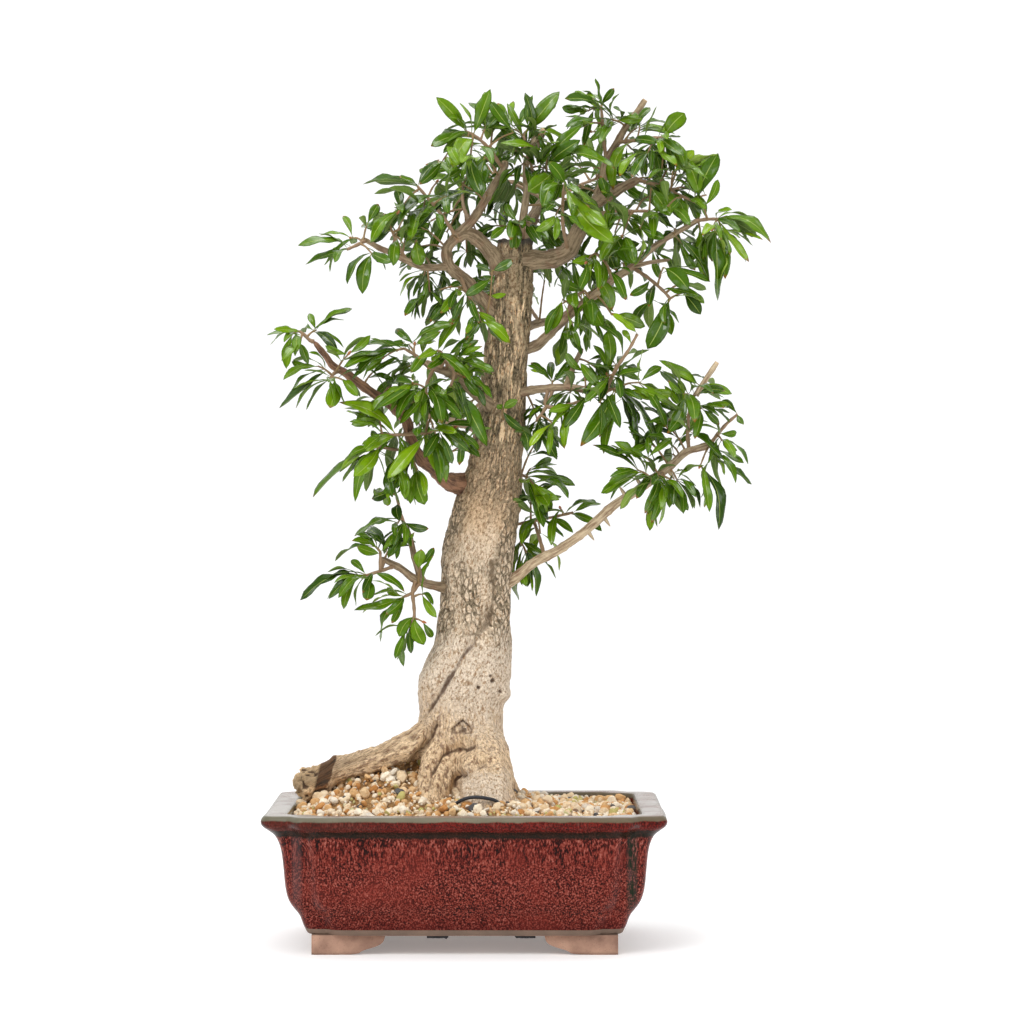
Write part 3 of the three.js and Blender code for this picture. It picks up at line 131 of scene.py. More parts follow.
# Branches, as lines of (x, y, z, radius), each starting inside the wood that carries it.
BRANCHES = {
    "right_low": [
        [
            (3, 2, 225, 6), (33, -2, 247, 4.2), (48, -6, 259, 3.7), (67, -9, 269, 3.5), (88, -13, 285, 3.4),
            (101, -16, 297, 3.3), (116, -20, 307, 3.2), (130, -24, 317, 3.1), (143, -27, 327, 2.9),
            (152, -29, 335, 2.8), (161, -31, 338, 2.6), (170, -33, 341, 2.4),
        ],
    ],
    "right_mid": [
        [
            (24, 0, 373, 5), (44, -6, 378, 3.4), (60, -12, 380, 3), (72, -16, 380, 2.8),
            (85, -20, 378, 2.5), (97, -26, 377, 2.2),
        ],
        [(69, -15, 380, 2.4), (75, -15, 395, 2), (81, -15, 407, 1.7)],
    ],
    "right_upper": [
        [
            (28, 4, 405, 5), (47, 2, 409, 4.2), (56, 0, 416, 3.4), (70, -3, 429, 3), (79, -5, 436, 2.9),
            (102, -8, 455, 2.7), (115, -10, 464, 2.5), (130, -13, 477, 2.2), (142, -15, 485, 2),
            (161, -19, 496, 1.7),
        ],
        [(115, -10, 464, 1.8), (129, -16, 467, 1.5), (141, -20, 468, 1.3)],
    ],
    "top_right": [
        [
            (28, 0, 468, 9), (44, -2, 469, 7.5), (60, -4, 470, 7), (71, -4, 475, 6.6), (77, -3, 486, 6.2),
            (87, 0, 506, 5), (102, 2, 516, 4), (120, 5, 526, 3),
        ],
        [
            (87, 0, 504, 3.8), (95, 8, 524, 3.2), (98, 8, 538, 2.9), (106, 6, 553, 2.6), (114, 3, 566, 2.4),
            (125, 0, 581, 2.3),
        ],
        [(91, 0, 501, 2.4), (100, -2, 502, 2.2), (114, -12, 502, 2)],
    ],
    "top_centre": [
        [
            (34, 8, 468, 5), (40, 8, 478, 4), (40, 8, 499, 3), (42, 8, 515, 2.6), (42, 8, 538, 2.3),
            (49, 7, 549, 2), (54, 6, 558, 1.8),
        ],
    ],
    "left_fork": [
        [(24, -2, 462, 8), (19, -6, 472, 6), (10, -8, 481, 5.4), (1, -10, 487, 5), (-7, -12, 484, 4.6)],
        [
            (17, 0, 433, 8), (10, -6, 443, 5), (-1, -11, 455, 4.4), (-11, -13, 464, 4.2),
            (-13, -12, 476, 4), (-7, -12, 484, 4),
        ],
        [
            (-7, -12, 484, 4.2), (3, -10, 494, 3.6), (10, -8, 504, 3.4), (17, -6, 517, 3),
            (26, -2, 532, 2.6), (27, -1, 538, 2.4),
        ],
    ],
    "left_long": [
        [
            (-11, -13, 464, 3), (-28, -18, 463, 2.6), (-42, -23, 468, 2.4), (-52, -28, 473, 2.2),
            (-60, -31, 476, 2), (-71, -34, 482, 1.7),
        ],
    ],
    "left_tier": [
        [
            (10, 6, 312, 9), (-2, 1, 313, 8.4), (-14, -10, 316, 6.6), (-22, -13, 324, 5.4),
            (-32, -17, 332, 4.8), (-38, -20, 345, 4.2), (-41, -22, 357, 3.9), (-50, -24, 366, 3.6),
            (-61, -27, 374, 3.4), (-71, -29, 381, 3.2), (-82, -31, 389, 3), (-91, -33, 394, 2.7),
            (-96, -34, 401, 2.4), (-104, -36, 411, 2),
        ],
    ],
    "left_low": [
        [
            (-3, 0, 239, 7), (-20, -3, 242, 3.6), (-29, -5, 244, 3.2), (-37, -8, 248, 3),
            (-44, -10, 254, 2.8), (-51, -11, 258, 2.4), (-59, -13, 262, 2),
        ],
        [(-29, -5, 244, 2.8), (-33, -5, 252, 2.6), (-38, -8, 271, 2.4), (-42, -10, 285, 2.2)],
    ],
    "front_left": [
        [
            (19, -4, 365, 6), (10, -14, 373, 4.2), (-1, -22, 382, 3.6), (-12, -29, 390, 3.2),
            (-23, -34, 394, 2.8), (-28, -36, 397, 2.4),
        ],
    ],
    "back_low": [
        [(14, 6, 344, 7), (12, 26, 347, 4.6), (4, 48, 354, 4), (-8, 64, 357, 3.4), (-23, 80, 360, 2.6)],
    ],
    "back_mid": [
        [(29, 6, 414, 6), (41, 28, 423, 3.6), (54, 48, 428, 3.2), (63, 64, 431, 2.8), (71, 78, 435, 2.2)],
    ],
    "back_top": [
        [(35, 2, 471, 8), (40, 18, 484, 5.6), (48, 36, 504, 4.4), (56, 54, 515, 3.6), (68, 68, 521, 2.8)],
    ],
}

# Leafy sprays: stems as lines of (x, y, z) that start in a branch, the tips of side shoots, and leaves as
# (base x, y, z, tip x, y, z, width seen from the front).
SPRAYS = {
    "crown_left_tip": (
        [[(24, -4, 535), (17, -10, 545), (8, -16, 553), (0, -20, 557)]],
        [(14, -8, 561), (-7, -28, 544), (3, -34, 533), (19, 14, 563)],
        [
            (-1, -20, 559, -20, -34, 579, 11), (7, -15, 561, 17, -20, 586, 11),
            (14, -8, 559, 14, 4, 577, 6), (5, -20, 551, -9, -44, 530, 14), (13, -26, 540, 11, -48, 511, 12),
            (0, -20, 557, -18, -4, 553, 8), (10, -14, 560, 24, -2, 572, 7),
        ],
    ),
    "crown_left_outer": (
        [[(-7, -12, 485), (-15, -22, 497), (-25, -30, 509), (-33, -34, 518)]],
        [(-20, -18, 522), (-45, -44, 500), (-28, -52, 502), (-12, -34, 511)],
        [
            (-34, -34, 517, -70, -48, 518, 5), (-32, -34, 520, -18, -26, 537, 6),
            (-45, -44, 500, -47, -40, 515, 8), (-43, -44, 498, -64, -66, 477, 10),
            (-1, -40, 514, -45, -72, 488, 8), (12, -50, 509, -36, -78, 478, 7),
            (-20, -20, 521, -3, -6, 532, 7),
        ],
    ),
    "left_long_tip": (
        [[(-68, -34, 481), (-75, -38, 477), (-81, -42, 474)]],
        [(-64, -44, 471), (-79, -22, 483), (-68, -34, 491)],
        [
            (-76, -40, 474, -114, -52, 476, 6), (-82, -42, 472, -110, -34, 464, 6),
            (-63, -44, 469, -70, -54, 443, 12), (-64, -44, 472, -50, -60, 464, 9),
            (-79, -24, 483, -85, -14, 499, 6), (-68, -34, 491, -60, -30, 506, 8),
        ],
    ),
    "left_long_mid": (
        [[(-42, -22, 469), (-46, -32, 477), (-50, -38, 486)]],
        [(-39, -44, 488), (-56, -30, 499), (-43, -50, 478)],
        [
            (-46, -42, 479, -49, -56, 462, 10), (-39, -44, 488, -24, -60, 497, 7),
            (-50, -38, 486, -72, -20, 492, 7),
        ],
    ),
    "crown_left_inner": (
        [[(3, -9, 494), (-2, 12, 508), (-3, 24, 523)]],
        [(-12, 36, 534), (5, 30, 536), (-13, 34, 510), (8, 44, 523)],
        [(-3, 24, 523, -15, 36, 544, 10), (5, 30, 536, 21, 44, 550, 8), (-12, 36, 534, -30, 46, 537, 9)],
    ),
    "left_fork_low": (
        [[(-3, -14, 456), (0, -24, 447), (6, -30, 436), (10, -34, 425)]],
        [(-5, -34, 447), (-18, -28, 447)],
        [
            (10, -34, 425, 31, -44, 410, 10), (9, -34, 427, 1, -48, 413, 7),
            (-5, -34, 447, -17, -48, 430, 8), (7, -32, 433, 21, -30, 425, 6),
            (0, -26, 446, -9, -30, 425, 6),
        ],
    ),
    "crown_centre_top": (
        [
            [(42, 8, 523), (46, -4, 526), (56, -14, 529), (65, -20, 525)],
            [(46, -4, 526), (44, -8, 543), (40, -6, 555)],
        ],
        [(32, 6, 561), (56, -18, 543), (47, 10, 564)],
        [
            (40, -6, 559, 65, -14, 585, 13), (56, -14, 534, 79, -30, 550, 12),
            (60, -16, 533, 103, -40, 529, 7), (67, -20, 519, 53, -46, 502, 14),
            (60, -14, 527, 43, -36, 514, 15), (32, 6, 562, 22, 14, 580, 8), (32, 6, 561, 10, -2, 565, 6),
        ],
    ),
    "crown_apex": (
        [[(98, 8, 540), (96, 4, 553), (95, 0, 566), (94, 0, 577)]],
        [(85, 10, 574), (79, -14, 560), (106, -10, 565), (88, 26, 561)],
        [
            (100, -4, 560, 69, -20, 560, 6), (95, 0, 578, 90, 2, 596, 3), (93, 0, 573, 76, 10, 588, 6),
            (94, 0, 577, 103, -8, 588, 6), (106, -10, 565, 122, -20, 566, 8), (85, 10, 574, 67, 14, 577, 8),
        ],
    ),
    "crown_centre_front": (
        [[(71, -5, 475), (67, -32, 492), (67, -46, 510), (68, -50, 518)]],
        [(82, -52, 503), (62, -54, 497), (77, -40, 515)],
        [
            (68, -50, 519, 101, -62, 477, 18), (62, -54, 497, 48, -64, 485, 8),
            (82, -52, 503, 96, -70, 488, 10), (68, -50, 518, 57, -54, 533, 10),
        ],
    ),
    "crown_notch": (
        [[(40, 2, 483), (37, -10, 490), (36, -16, 495)]],
        [(29, -24, 491), (46, -22, 492)],
        [
            (36, -16, 495, 35, -24, 475, 10), (29, -24, 491, 17, -34, 482, 7),
            (46, -22, 492, 57, -36, 481, 7), (36, -16, 495, 28, -10, 508, 7),
        ],
    ),
    "crown_right_top": (
        [[(106, 6, 552), (118, -6, 552), (129, -14, 553), (137, -18, 553)]],
        [(126, -28, 542), (119, 10, 562), (141, 4, 548)],
        [
            (137, -18, 554, 151, -26, 569, 14), (114, -8, 552, 135, -28, 548, 8),
            (138, -18, 553, 152, -28, 530, 8), (108, -12, 544, 102, -26, 516, 10),
            (126, -28, 542, 114, -44, 523, 8), (119, 10, 562, 122, 18, 579, 8),
        ],
    ),
    "crown_right_shoulder": (
        [[(121, 4, 525), (135, -8, 520), (148, -16, 513), (159, -20, 508)]],
        [(143, -24, 529), (157, 10, 519), (139, -36, 504), (167, -6, 514)],
        [
            (159, -20, 510, 174, -28, 541, 14), (158, -20, 508, 151, -6, 544, 8),
            (166, -16, 504, 175, -14, 532, 6), (123, -10, 522, 141, -34, 498, 10),
            (143, -24, 529, 158, -18, 544, 8), (139, -36, 504, 154, -48, 490, 8),
        ],
    ),
    "crown_right_tip": (
        [[(158, -18, 495), (166, -22, 496), (174, -26, 496)]],
        [(170, -34, 489), (163, -8, 487), (177, -20, 488)],
        [
            (174, -26, 496, 210, -34, 479, 9), (170, -24, 499, 200, -8, 494, 6),
            (171, -32, 491, 173, -40, 439, 11), (176, -22, 487, 194, -14, 467, 4),
            (163, -8, 487, 156, -4, 468, 8), (166, -22, 496, 160, -16, 513, 7),
        ],
    ),
    "crown_right_mid": (
        [[(95, 0, 501), (109, -12, 502), (127, -20, 502)]],
        [(120, -36, 489), (108, -34, 484), (127, 6, 514), (97, -26, 509)],
        [
            (108, -34, 484, 117, -46, 464, 11), (120, -36, 489, 136, -48, 481, 8),
            (127, -20, 502, 145, -28, 504, 7), (97, -26, 509, 93, -34, 525, 9),
            (108, -34, 485, 92, -50, 465, 8),
        ],
    ),
    "right_upper_low": (
        [[(115, -8, 464), (126, -18, 456), (136, -24, 447), (141, -28, 441)]],
        [(151, -18, 452), (136, -36, 462), (129, -6, 441)],
        [
            (136, -36, 462, 153, -44, 446, 14), (143, -24, 478, 168, -40, 452, 6),
            (139, -28, 441, 125, -38, 406, 15), (151, -18, 452, 165, -20, 438, 7),
            (129, -6, 441, 117, 0, 425, 8), (136, -24, 447, 161, -40, 442, 6),
            (126, -20, 454, 113, -32, 443, 7),
        ],
    ),
    "right_upper_inner": (
        [[(70, -3, 429), (74, -12, 441), (82, -18, 447)]],
        [(67, -20, 438), (86, -30, 440), (75, -14, 420)],
        [
            (67, -20, 439, 55, -30, 416, 8), (74, -14, 423, 80, -22, 402, 6),
            (86, -30, 440, 95, -40, 420, 8), (82, -18, 447, 65, -24, 454, 8),
        ],
    ),
    "right_upper_front": (
        [[(102, -8, 455), (97, -22, 465), (90, -32, 472)]],
        [(99, -40, 459), (83, -46, 465), (101, -16, 475)],
        [
            (90, -32, 472, 73, -44, 465, 8), (99, -40, 459, 110, -48, 439, 8),
            (83, -46, 465, 78, -56, 446, 8), (101, -16, 475, 120, -26, 479, 8),
        ],
    ),
    "right_mid_tip": (
        [
            [(93, -22, 377), (98, -26, 378), (104, -30, 379)],
            [(97, -26, 378), (104, -34, 393), (112, -40, 405), (118, -42, 416)],
        ],
        [(120, -36, 383), (98, -18, 389), (111, -14, 373), (92, -44, 369)],
        [
            (102, -30, 378, 79, -44, 339, 15), (103, -32, 377, 95, -40, 334, 10),
            (104, -32, 377, 116, -34, 332, 5), (105, -30, 377, 131, -40, 341, 6),
            (106, -30, 378, 120, -20, 355, 6), (105, -30, 379, 143, -36, 375, 10),
            (99, -34, 372, 79, -40, 396, 8), (98, -18, 390, 98, -22, 419, 11),
            (114, -40, 409, 108, -34, 419, 5), (120, -42, 417, 100, -50, 430, 6),
            (120, -36, 383, 135, -30, 394, 7), (120, -36, 383, 145, -28, 364, 7),
        ],
    ),
    "right_mid_inner": (
        [
            [(60, -12, 378), (56, -18, 367), (49, -20, 357)],
            [(56, -18, 367), (71, -28, 368), (84, -32, 372)],
        ],
        [(60, -24, 355), (75, -32, 368), (82, -14, 391)],
        [
            (85, -30, 374, 68, -42, 352, 9), (49, -18, 356, 63, -32, 330, 9),
            (53, -20, 355, 68, -14, 338, 3), (60, -24, 355, 44, -34, 339, 6),
            (82, -14, 391, 69, -20, 404, 7), (75, -32, 368, 57, -46, 363, 7),
        ],
    ),
    "trunk_right": (
        [[(29, 2, 320), (37, 6, 320), (42, 8, 318)]],
        [(47, 0, 313), (45, 16, 324)],
        [
            (42, 8, 319, 76, -4, 312, 8), (40, 6, 316, 54, -6, 283, 9), (42, 8, 315, 60, 12, 295, 8),
            (45, 16, 324, 60, 24, 331, 6), (47, 0, 313, 65, -10, 302, 7),
        ],
    ),
    "trunk_right_low": (
        [
            [(21, 10, 282), (32, 18, 284), (47, 24, 287), (62, 24, 290), (75, 22, 293)],
            [(47, 24, 287), (42, 22, 279), (38, 20, 272)],
        ],
        [(52, 30, 278), (66, 16, 296), (42, 12, 265)],
        [
            (59, 24, 289, 75, 16, 279, 6), (72, 22, 292, 95, 14, 280, 5), (75, 22, 293, 95, 28, 299, 5),
            (38, 18, 274, 54, 10, 263, 7), (38, 18, 272, 43, 14, 241, 6), (40, 16, 270, 49, 20, 234, 6),
            (37, 18, 273, 37, 26, 231, 6), (37, 20, 277, 33, 30, 254, 6),
        ],
    ),
    "right_low_top": (
        [[(154, -28, 337), (153, -30, 350), (155, -32, 368), (160, -34, 379)]],
        [(162, -40, 365), (148, -24, 360), (166, -30, 385), (154, -42, 349), (150, -40, 375)],
        [
            (159, -34, 383, 133, -40, 398, 9), (163, -32, 382, 183, -38, 375, 8),
            (162, -40, 365, 181, -46, 368, 5), (154, -36, 346, 175, -40, 328, 5),
            (148, -24, 360, 134, -18, 369, 6), (150, -40, 375, 139, -48, 384, 5),
            (162, -40, 365, 174, -48, 354, 6), (148, -24, 360, 139, -20, 349, 6),
        ],
    ),
    "right_low_tip": (
        [[(168, -33, 340), (174, -35, 348), (180, -36, 355), (187, -37, 361)]],
        [(176, -42, 343), (169, -38, 332), (161, -46, 326)],
        [
            (187, -37, 362, 191, -40, 354, 5), (169, -38, 331, 197, -32, 313, 3),
            (161, -46, 326, 173, -54, 282, 10), (159, -46, 323, 164, -38, 297, 6),
            (176, -42, 343, 186, -50, 336, 6), (187, -37, 361, 177, -30, 371, 6),
            (174, -35, 348, 187, -26, 349, 6),
        ],
    ),
    "right_low_inner": (
        [[(136, -25, 321), (135, -34, 319), (130, -40, 315)]],
        [(136, -40, 313), (145, -36, 313), (118, -40, 323), (125, -38, 331)],
        [
            (135, -36, 316, 123, -44, 293, 8), (134, -36, 315, 127, -30, 281, 7),
            (137, -34, 316, 140, -42, 297, 8), (121, -40, 321, 93, -46, 307, 9),
            (118, -40, 324, 87, -44, 340, 6), (125, -38, 330, 126, -34, 346, 6),
            (145, -36, 313, 153, -38, 295, 6), (125, -38, 331, 142, -36, 345, 6),
        ],
    ),
    "left_tier_tip": (
        [[(-107, -36, 412), (-111, -38, 416), (-114, -40, 418)]],
        [(-113, -44, 410), (-103, -30, 419), (-119, -42, 416)],
        [
            (-114, -40, 415, -136, -46, 415, 4), (-108, -34, 421, -78, -30, 434, 4),
            (-116, -42, 411, -122, -46, 393, 5), (-101, -34, 414, -87, -44, 404, 8),
            (-113, -44, 410, -124, -40, 404, 5), (-103, -30, 419, -108, -24, 431, 6),
            (-113, -44, 410, -107, -52, 395, 7),
        ],
    ),
    "left_tier_outer": (
        [[(-86, -32, 391), (-90, -42, 389), (-93, -48, 384)]],
        [(-101, -44, 394), (-83, -48, 384), (-80, -46, 402)],
        [
            (-98, -42, 387, -127, -50, 365, 6), (-90, -48, 386, -92, -56, 365, 12),
            (-80, -46, 402, -65, -44, 415, 7), (-101, -38, 394, -119, -42, 397, 6),
            (-84, -46, 386, -73, -56, 373, 8), (-80, -46, 402, -96, -42, 408, 6),
        ],
    ),
    "left_tier_top": (
        [[(-28, -34, 396), (-35, -40, 402), (-42, -44, 406)]],
        [(-47, -48, 404), (-35, -34, 409), (-56, -42, 400)],
        [
            (-43, -44, 406, -86, -56, 397, 5), (-41, -44, 407, -71, -38, 409, 5),
            (-47, -48, 404, -77, -58, 384, 7), (-35, -34, 409, -47, -28, 419, 6),
            (-35, -34, 409, -17, -36, 418, 7), (-56, -42, 400, -68, -52, 390, 6),
        ],
    ),
    "left_tier_right": (
        [
            [(-13, -30, 392), (-13, -38, 398), (-17, -42, 404)],
            [(-13, -38, 398), (-8, -46, 389), (-10, -48, 380)],
        ],
        [(-6, -42, 398), (-2, -40, 387), (-26, -46, 404)],
        [
            (-28, -44, 405, 5, -62, 381, 8), (-6, -42, 398, 20, -52, 390, 6),
            (-11, -40, 401, 14, -34, 401, 4), (-11, -42, 380, 15, -54, 339, 12),
            (-26, -46, 404, -37, -60, 389, 8), (-2, -40, 387, 10, -50, 373, 7),
            (-6, -42, 398, 9, -40, 412, 6),
        ],
    ),
    "left_tier_mid": (
        [[(-22, -34, 392), (-26, -44, 383), (-27, -50, 375)]],
        [(-36, -52, 382), (-20, -56, 372), (-28, -50, 368)],
        [
            (-26, -46, 384, -33, -60, 353, 10), (-26, -44, 384, -13, -62, 364, 14),
            (-34, -50, 383, -62, -66, 363, 8), (-36, -52, 382, -50, -60, 370, 8),
            (-20, -56, 372, -2, -66, 357, 7), (-27, -50, 373, -44, -64, 354, 7),
        ],
    ),
    "left_tier_inner": (
        [
            [(-39, -21, 349), (-33, -34, 348), (-26, -40, 348)],
            [(-33, -34, 348), (-45, -44, 347), (-57, -46, 347)],
        ],
        [(-17, -44, 350), (-47, -44, 346), (-59, -42, 358), (-8, -46, 352)],
        [
            (-47, -44, 345, -86, -50, 369, 10), (-26, -42, 346, -53, -56, 317, 11),
            (-24, -40, 345, -13, -46, 314, 7), (-8, -46, 352, -4, -52, 326, 6),
            (-59, -42, 358, -78, -44, 354, 8), (-17, -44, 350, 3, -56, 335, 8),
            (-47, -44, 346, -68, -54, 335, 8), (-17, -44, 350, -28, -58, 331, 8),
        ],
    ),
    "left_tier_low": (
        [[(-36, -20, 338), (-42, -30, 337), (-50, -36, 337), (-60, -40, 339)]],
        [(-61, -40, 334), (-42, -38, 327), (-33, -34, 323)],
        [
            (-61, -40, 335, -104, -50, 304, 5), (-60, -40, 338, -82, -44, 330, 6),
            (-33, -34, 324, -28, -42, 299, 12), (-42, -38, 327, -56, -48, 306, 8),
            (-61, -40, 334, -72, -48, 317, 7), (-50, -36, 337, -65, -28, 350, 7),
        ],
    ),
    "left_low_tip": (
        [
            [(-50, -11, 256), (-59, -19, 253), (-69, -22, 250)],
            [(-59, -19, 253), (-59, -22, 261), (-59, -22, 266)],
        ],
        [(-74, -24, 249), (-65, -28, 246), (-62, -22, 270)],
        [
            (-72, -22, 251, -114, -28, 233, 6), (-75, -24, 248, -84, -32, 227, 7),
            (-67, -26, 249, -68, -34, 233, 10), (-59, -22, 265, -75, -26, 270, 8),
            (-63, -22, 250, -42, -34, 239, 6), (-69, -22, 251, -80, -12, 260, 6),
            (-59, -22, 266, -47, -18, 280, 6), (-62, -22, 270, -72, -20, 280, 6),
        ],
    ),
    "left_low_mid": (
        [
            [(-32, -6, 245), (-37, -14, 238), (-43, -18, 235)],
            [(-37, -14, 238), (-36, -18, 229), (-36, -20, 220), (-41, -22, 213)],
        ],
        [(-29, -18, 237), (-30, -22, 218), (-32, -16, 256)],
        [
            (-43, -18, 238, -77, -26, 226, 8), (-44, -20, 236, -51, -28, 217, 6),
            (-35, -16, 221, -29, -24, 202, 12), (-37, -16, 221, -46, -28, 208, 10),
            (-42, -20, 210, -43, -22, 187, 5), (-30, -16, 237, -20, -26, 221, 7),
            (-30, -22, 218, -23, -18, 207, 6), (-43, -18, 235, -55, -12, 241, 6),
            (-31, -16, 252, -31, -18, 268, 10), (-32, -16, 256, -22, -14, 269, 6),
        ],
    ),
    "left_low_top": (
        [[(-42, -10, 283), (-45, -16, 292), (-48, -16, 305)]],
        [(-54, -18, 308), (-47, -22, 286)],
        [
            (-47, -16, 285, -77, -24, 277, 5), (-46, -16, 283, -50, -24, 270, 7),
            (-39, -16, 286, -26, -10, 282, 7), (-54, -18, 298, -46, -28, 288, 9),
            (-62, -16, 303, -54, -18, 298, 7), (-50, -14, 309, -65, -22, 303, 9),
            (-48, -14, 308, -40, -8, 320, 7),
        ],
    ),
    "back_low_left": (
        [[(-21, 76, 359), (-32, 92, 364), (-38, 104, 368)]],
        [(-23, 96, 348), (-35, 108, 352), (-46, 94, 374), (-26, 112, 376)],
        [
            (-38, 104, 368, -61, 112, 377, 9), (-35, 108, 352, -50, 116, 329, 10),
            (-23, 96, 348, -16, 104, 323, 9), (-26, 112, 376, -29, 116, 399, 9),
        ],
    ),
    "back_low_right": (
        [[(-1, 53, 356), (6, 80, 368), (13, 100, 377)]],
        [(23, 90, 366), (6, 104, 386), (-4, 112, 368)],
        [
            (13, 100, 377, 23, 112, 402, 9), (6, 104, 386, -9, 112, 406, 9), (23, 90, 366, 32, 100, 345, 9),
            (-4, 112, 368, -13, 118, 345, 9),
        ],
    ),
    "back_mid_right": (
        [[(66, 70, 432), (75, 88, 440), (83, 102, 446)]],
        [(71, 84, 420), (93, 92, 449), (74, 104, 457), (89, 104, 433)],
        [
            (83, 102, 446, 100, 110, 464, 9), (71, 84, 420, 64, 92, 398, 9),
            (89, 104, 433, 109, 112, 422, 9), (74, 104, 457, 64, 110, 475, 9),
        ],
    ),
    "back_mid_left": (
        [[(52, 50, 428), (45, 72, 439), (39, 90, 449)]],
        [(31, 84, 441), (41, 96, 461), (26, 106, 457)],
        [
            (39, 90, 449, 25, 98, 469, 9), (31, 84, 441, 13, 92, 433, 9), (41, 96, 461, 52, 104, 479, 9),
            (26, 106, 457, 7, 110, 461, 9),
        ],
    ),
    "back_top_right": (
        [[(66, 66, 519), (81, 82, 528), (94, 94, 534)]],
        [(84, 88, 515), (100, 80, 542), (112, 94, 529), (89, 98, 546)],
        [
            (94, 94, 534, 118, 104, 545, 10), (84, 88, 515, 89, 98, 491, 10),
            (112, 94, 529, 134, 100, 519, 9), (89, 98, 546, 84, 102, 567, 9),
        ],
    ),
    "back_top_left": (
        [[(55, 51, 515), (36, 70, 527), (19, 88, 535)]],
        [(6, 80, 527), (23, 86, 548), (31, 98, 522), (9, 98, 548)],
        [
            (19, 88, 535, -4, 98, 545, 10), (6, 80, 527, -11, 92, 510, 10), (23, 86, 548, 29, 92, 570, 9),
            (31, 98, 522, 25, 104, 497, 9),
        ],
    ),
}

# More side shoots that carry only small leaves; each starts on the nearest branch or twig.
EXTRA_SHOOTS = {
    "crown_left_inner": [
        (-25, 10, 497), (-14, 22, 490), (0, 24, 476), (-32, 4, 479), (-21, 12, 463), (2, 22, 453),
        (-10, 30, 505), (9, 30, 485), (-35, -10, 493), (21, 24, 495),
    ],
    "crown_left_outer": [(-42, -12, 484)],
    "left_fork_low": [(-25, -20, 446), (-13, -18, 441), (-29, -12, 458), (-30, 2, 472)],
    "crown_notch": [(39, 0, 536), (32, 10, 547), (48, -10, 552), (55, -14, 532), (27, 14, 528)],
    "crown_centre_top": [(80, 14, 536), (70, 20, 520), (93, 16, 521), (64, 12, 505)],
    "back_top_right": [
        (57, 34, 496), (66, 40, 486), (55, 34, 457), (92, 76, 520), (78, 94, 545), (104, 84, 540),
    ],
    "back_top_left": [(32, 72, 519), (20, 92, 548), (42, 92, 528)],
    "crown_right_top": [(102, -6, 566), (121, -4, 561), (131, -10, 545), (116, 10, 547), (127, 12, 527)],
    "crown_right_shoulder": [(141, -6, 533), (149, 0, 518), (129, 16, 523)],
    "crown_right_mid": [(146, 4, 491), (151, -4, 478), (132, 10, 476), (112, 12, 500)],
    "right_upper_front": [(109, 12, 468), (98, 10, 482)],
    "right_upper_inner": [(76, 14, 468), (60, 16, 471)],
    "right_low_tip": [(143, -22, 350), (130, -34, 320), (146, -34, 315), (143, -26, 334)],
    "right_low_top": [(126, -30, 343), (135, -28, 357), (143, -18, 340)],
    "left_tier_mid": [(-64, -30, 390), (-52, -28, 381), (-44, -20, 391), (-59, -26, 371)],
    "left_tier_inner": [(-20, -28, 366), (-8, -26, 352), (0, -24, 341)],
    "left_low_top": [(-53, -12, 268), (-46, -14, 281)],
    "right_mid_inner": [(60, -10, 385), (55, -6, 366), (52, 0, 351), (72, -22, 376), (88, -30, 374)],
    "right_mid_tip": [(104, -20, 396), (90, -10, 394), (98, -34, 388)],
    "trunk_right": [(50, 6, 357), (48, 0, 341)],
    "trunk_right_low": [(45, 10, 305), (51, 12, 291)],
    "back_low_left": [(-30, 90, 350), (-44, 84, 376), (-14, 96, 372)],
    "back_low_right": [(20, 90, 366), (0, 84, 386), (26, 76, 352)],
    "back_mid_right": [(96, 90, 456)],
    "back_mid_left": [(30, 78, 436), (44, 96, 473), (20, 84, 452)],
}

# Single leaves set in the sprays' gaps, as (x, y, z) of base and tip and a width.
LONE_LEAVES = {
    "crown_left_inner": [
        (14, -22, 515, -33, -26, 489, 9), (-2, -20, 520, -40, -26, 495, 9),
        (-41, -22, 501, -64, -28, 479, 11), (-34, -20, 482, -31, -24, 464, 11),
        (13, -26, 539, 9, -28, 513, 12),
    ],
    "crown_left_tip": [
        (5, -24, 550, -10, -28, 533, 11), (-16, -16, 537, -32, -22, 520, 7),
        (2, -24, 553, -24, -28, 546, 8), (33, -22, 556, 17, -26, 577, 8),
    ],
    "crown_right_shoulder": [(138, -22, 552, 151, -26, 529, 9), (150, -22, 541, 161, -26, 514, 11)],
    "crown_right_mid": [(128, -22, 518, 141, -26, 498, 11), (103, -24, 487, 118, -28, 465, 12)],
    "crown_right_tip": [(164, -28, 504, 174, -28, 523, 6), (144, -24, 485, 168, -28, 453, 7)],
    "right_upper_front": [
        (90, -26, 456, 101, -30, 433, 10), (81, -24, 445, 93, -28, 422, 12),
        (67, -18, 441, 55, -24, 417, 9),
    ],
    "right_upper_inner": [(72, -12, 427, 78, -20, 406, 7), (101, -20, 430, 124, -24, 422, 9)],
    "right_upper_low": [(150, -28, 445, 162, -30, 430, 9), (138, -26, 434, 142, -28, 416, 7)],
    "left_tier_top": [
        (-39, -26, 409, -8, -30, 424, 6), (-20, -24, 404, -4, -28, 430, 7),
        (-30, -22, 402, -22, -26, 424, 6), (-12, -24, 402, 6, -28, 416, 6),
    ],
}

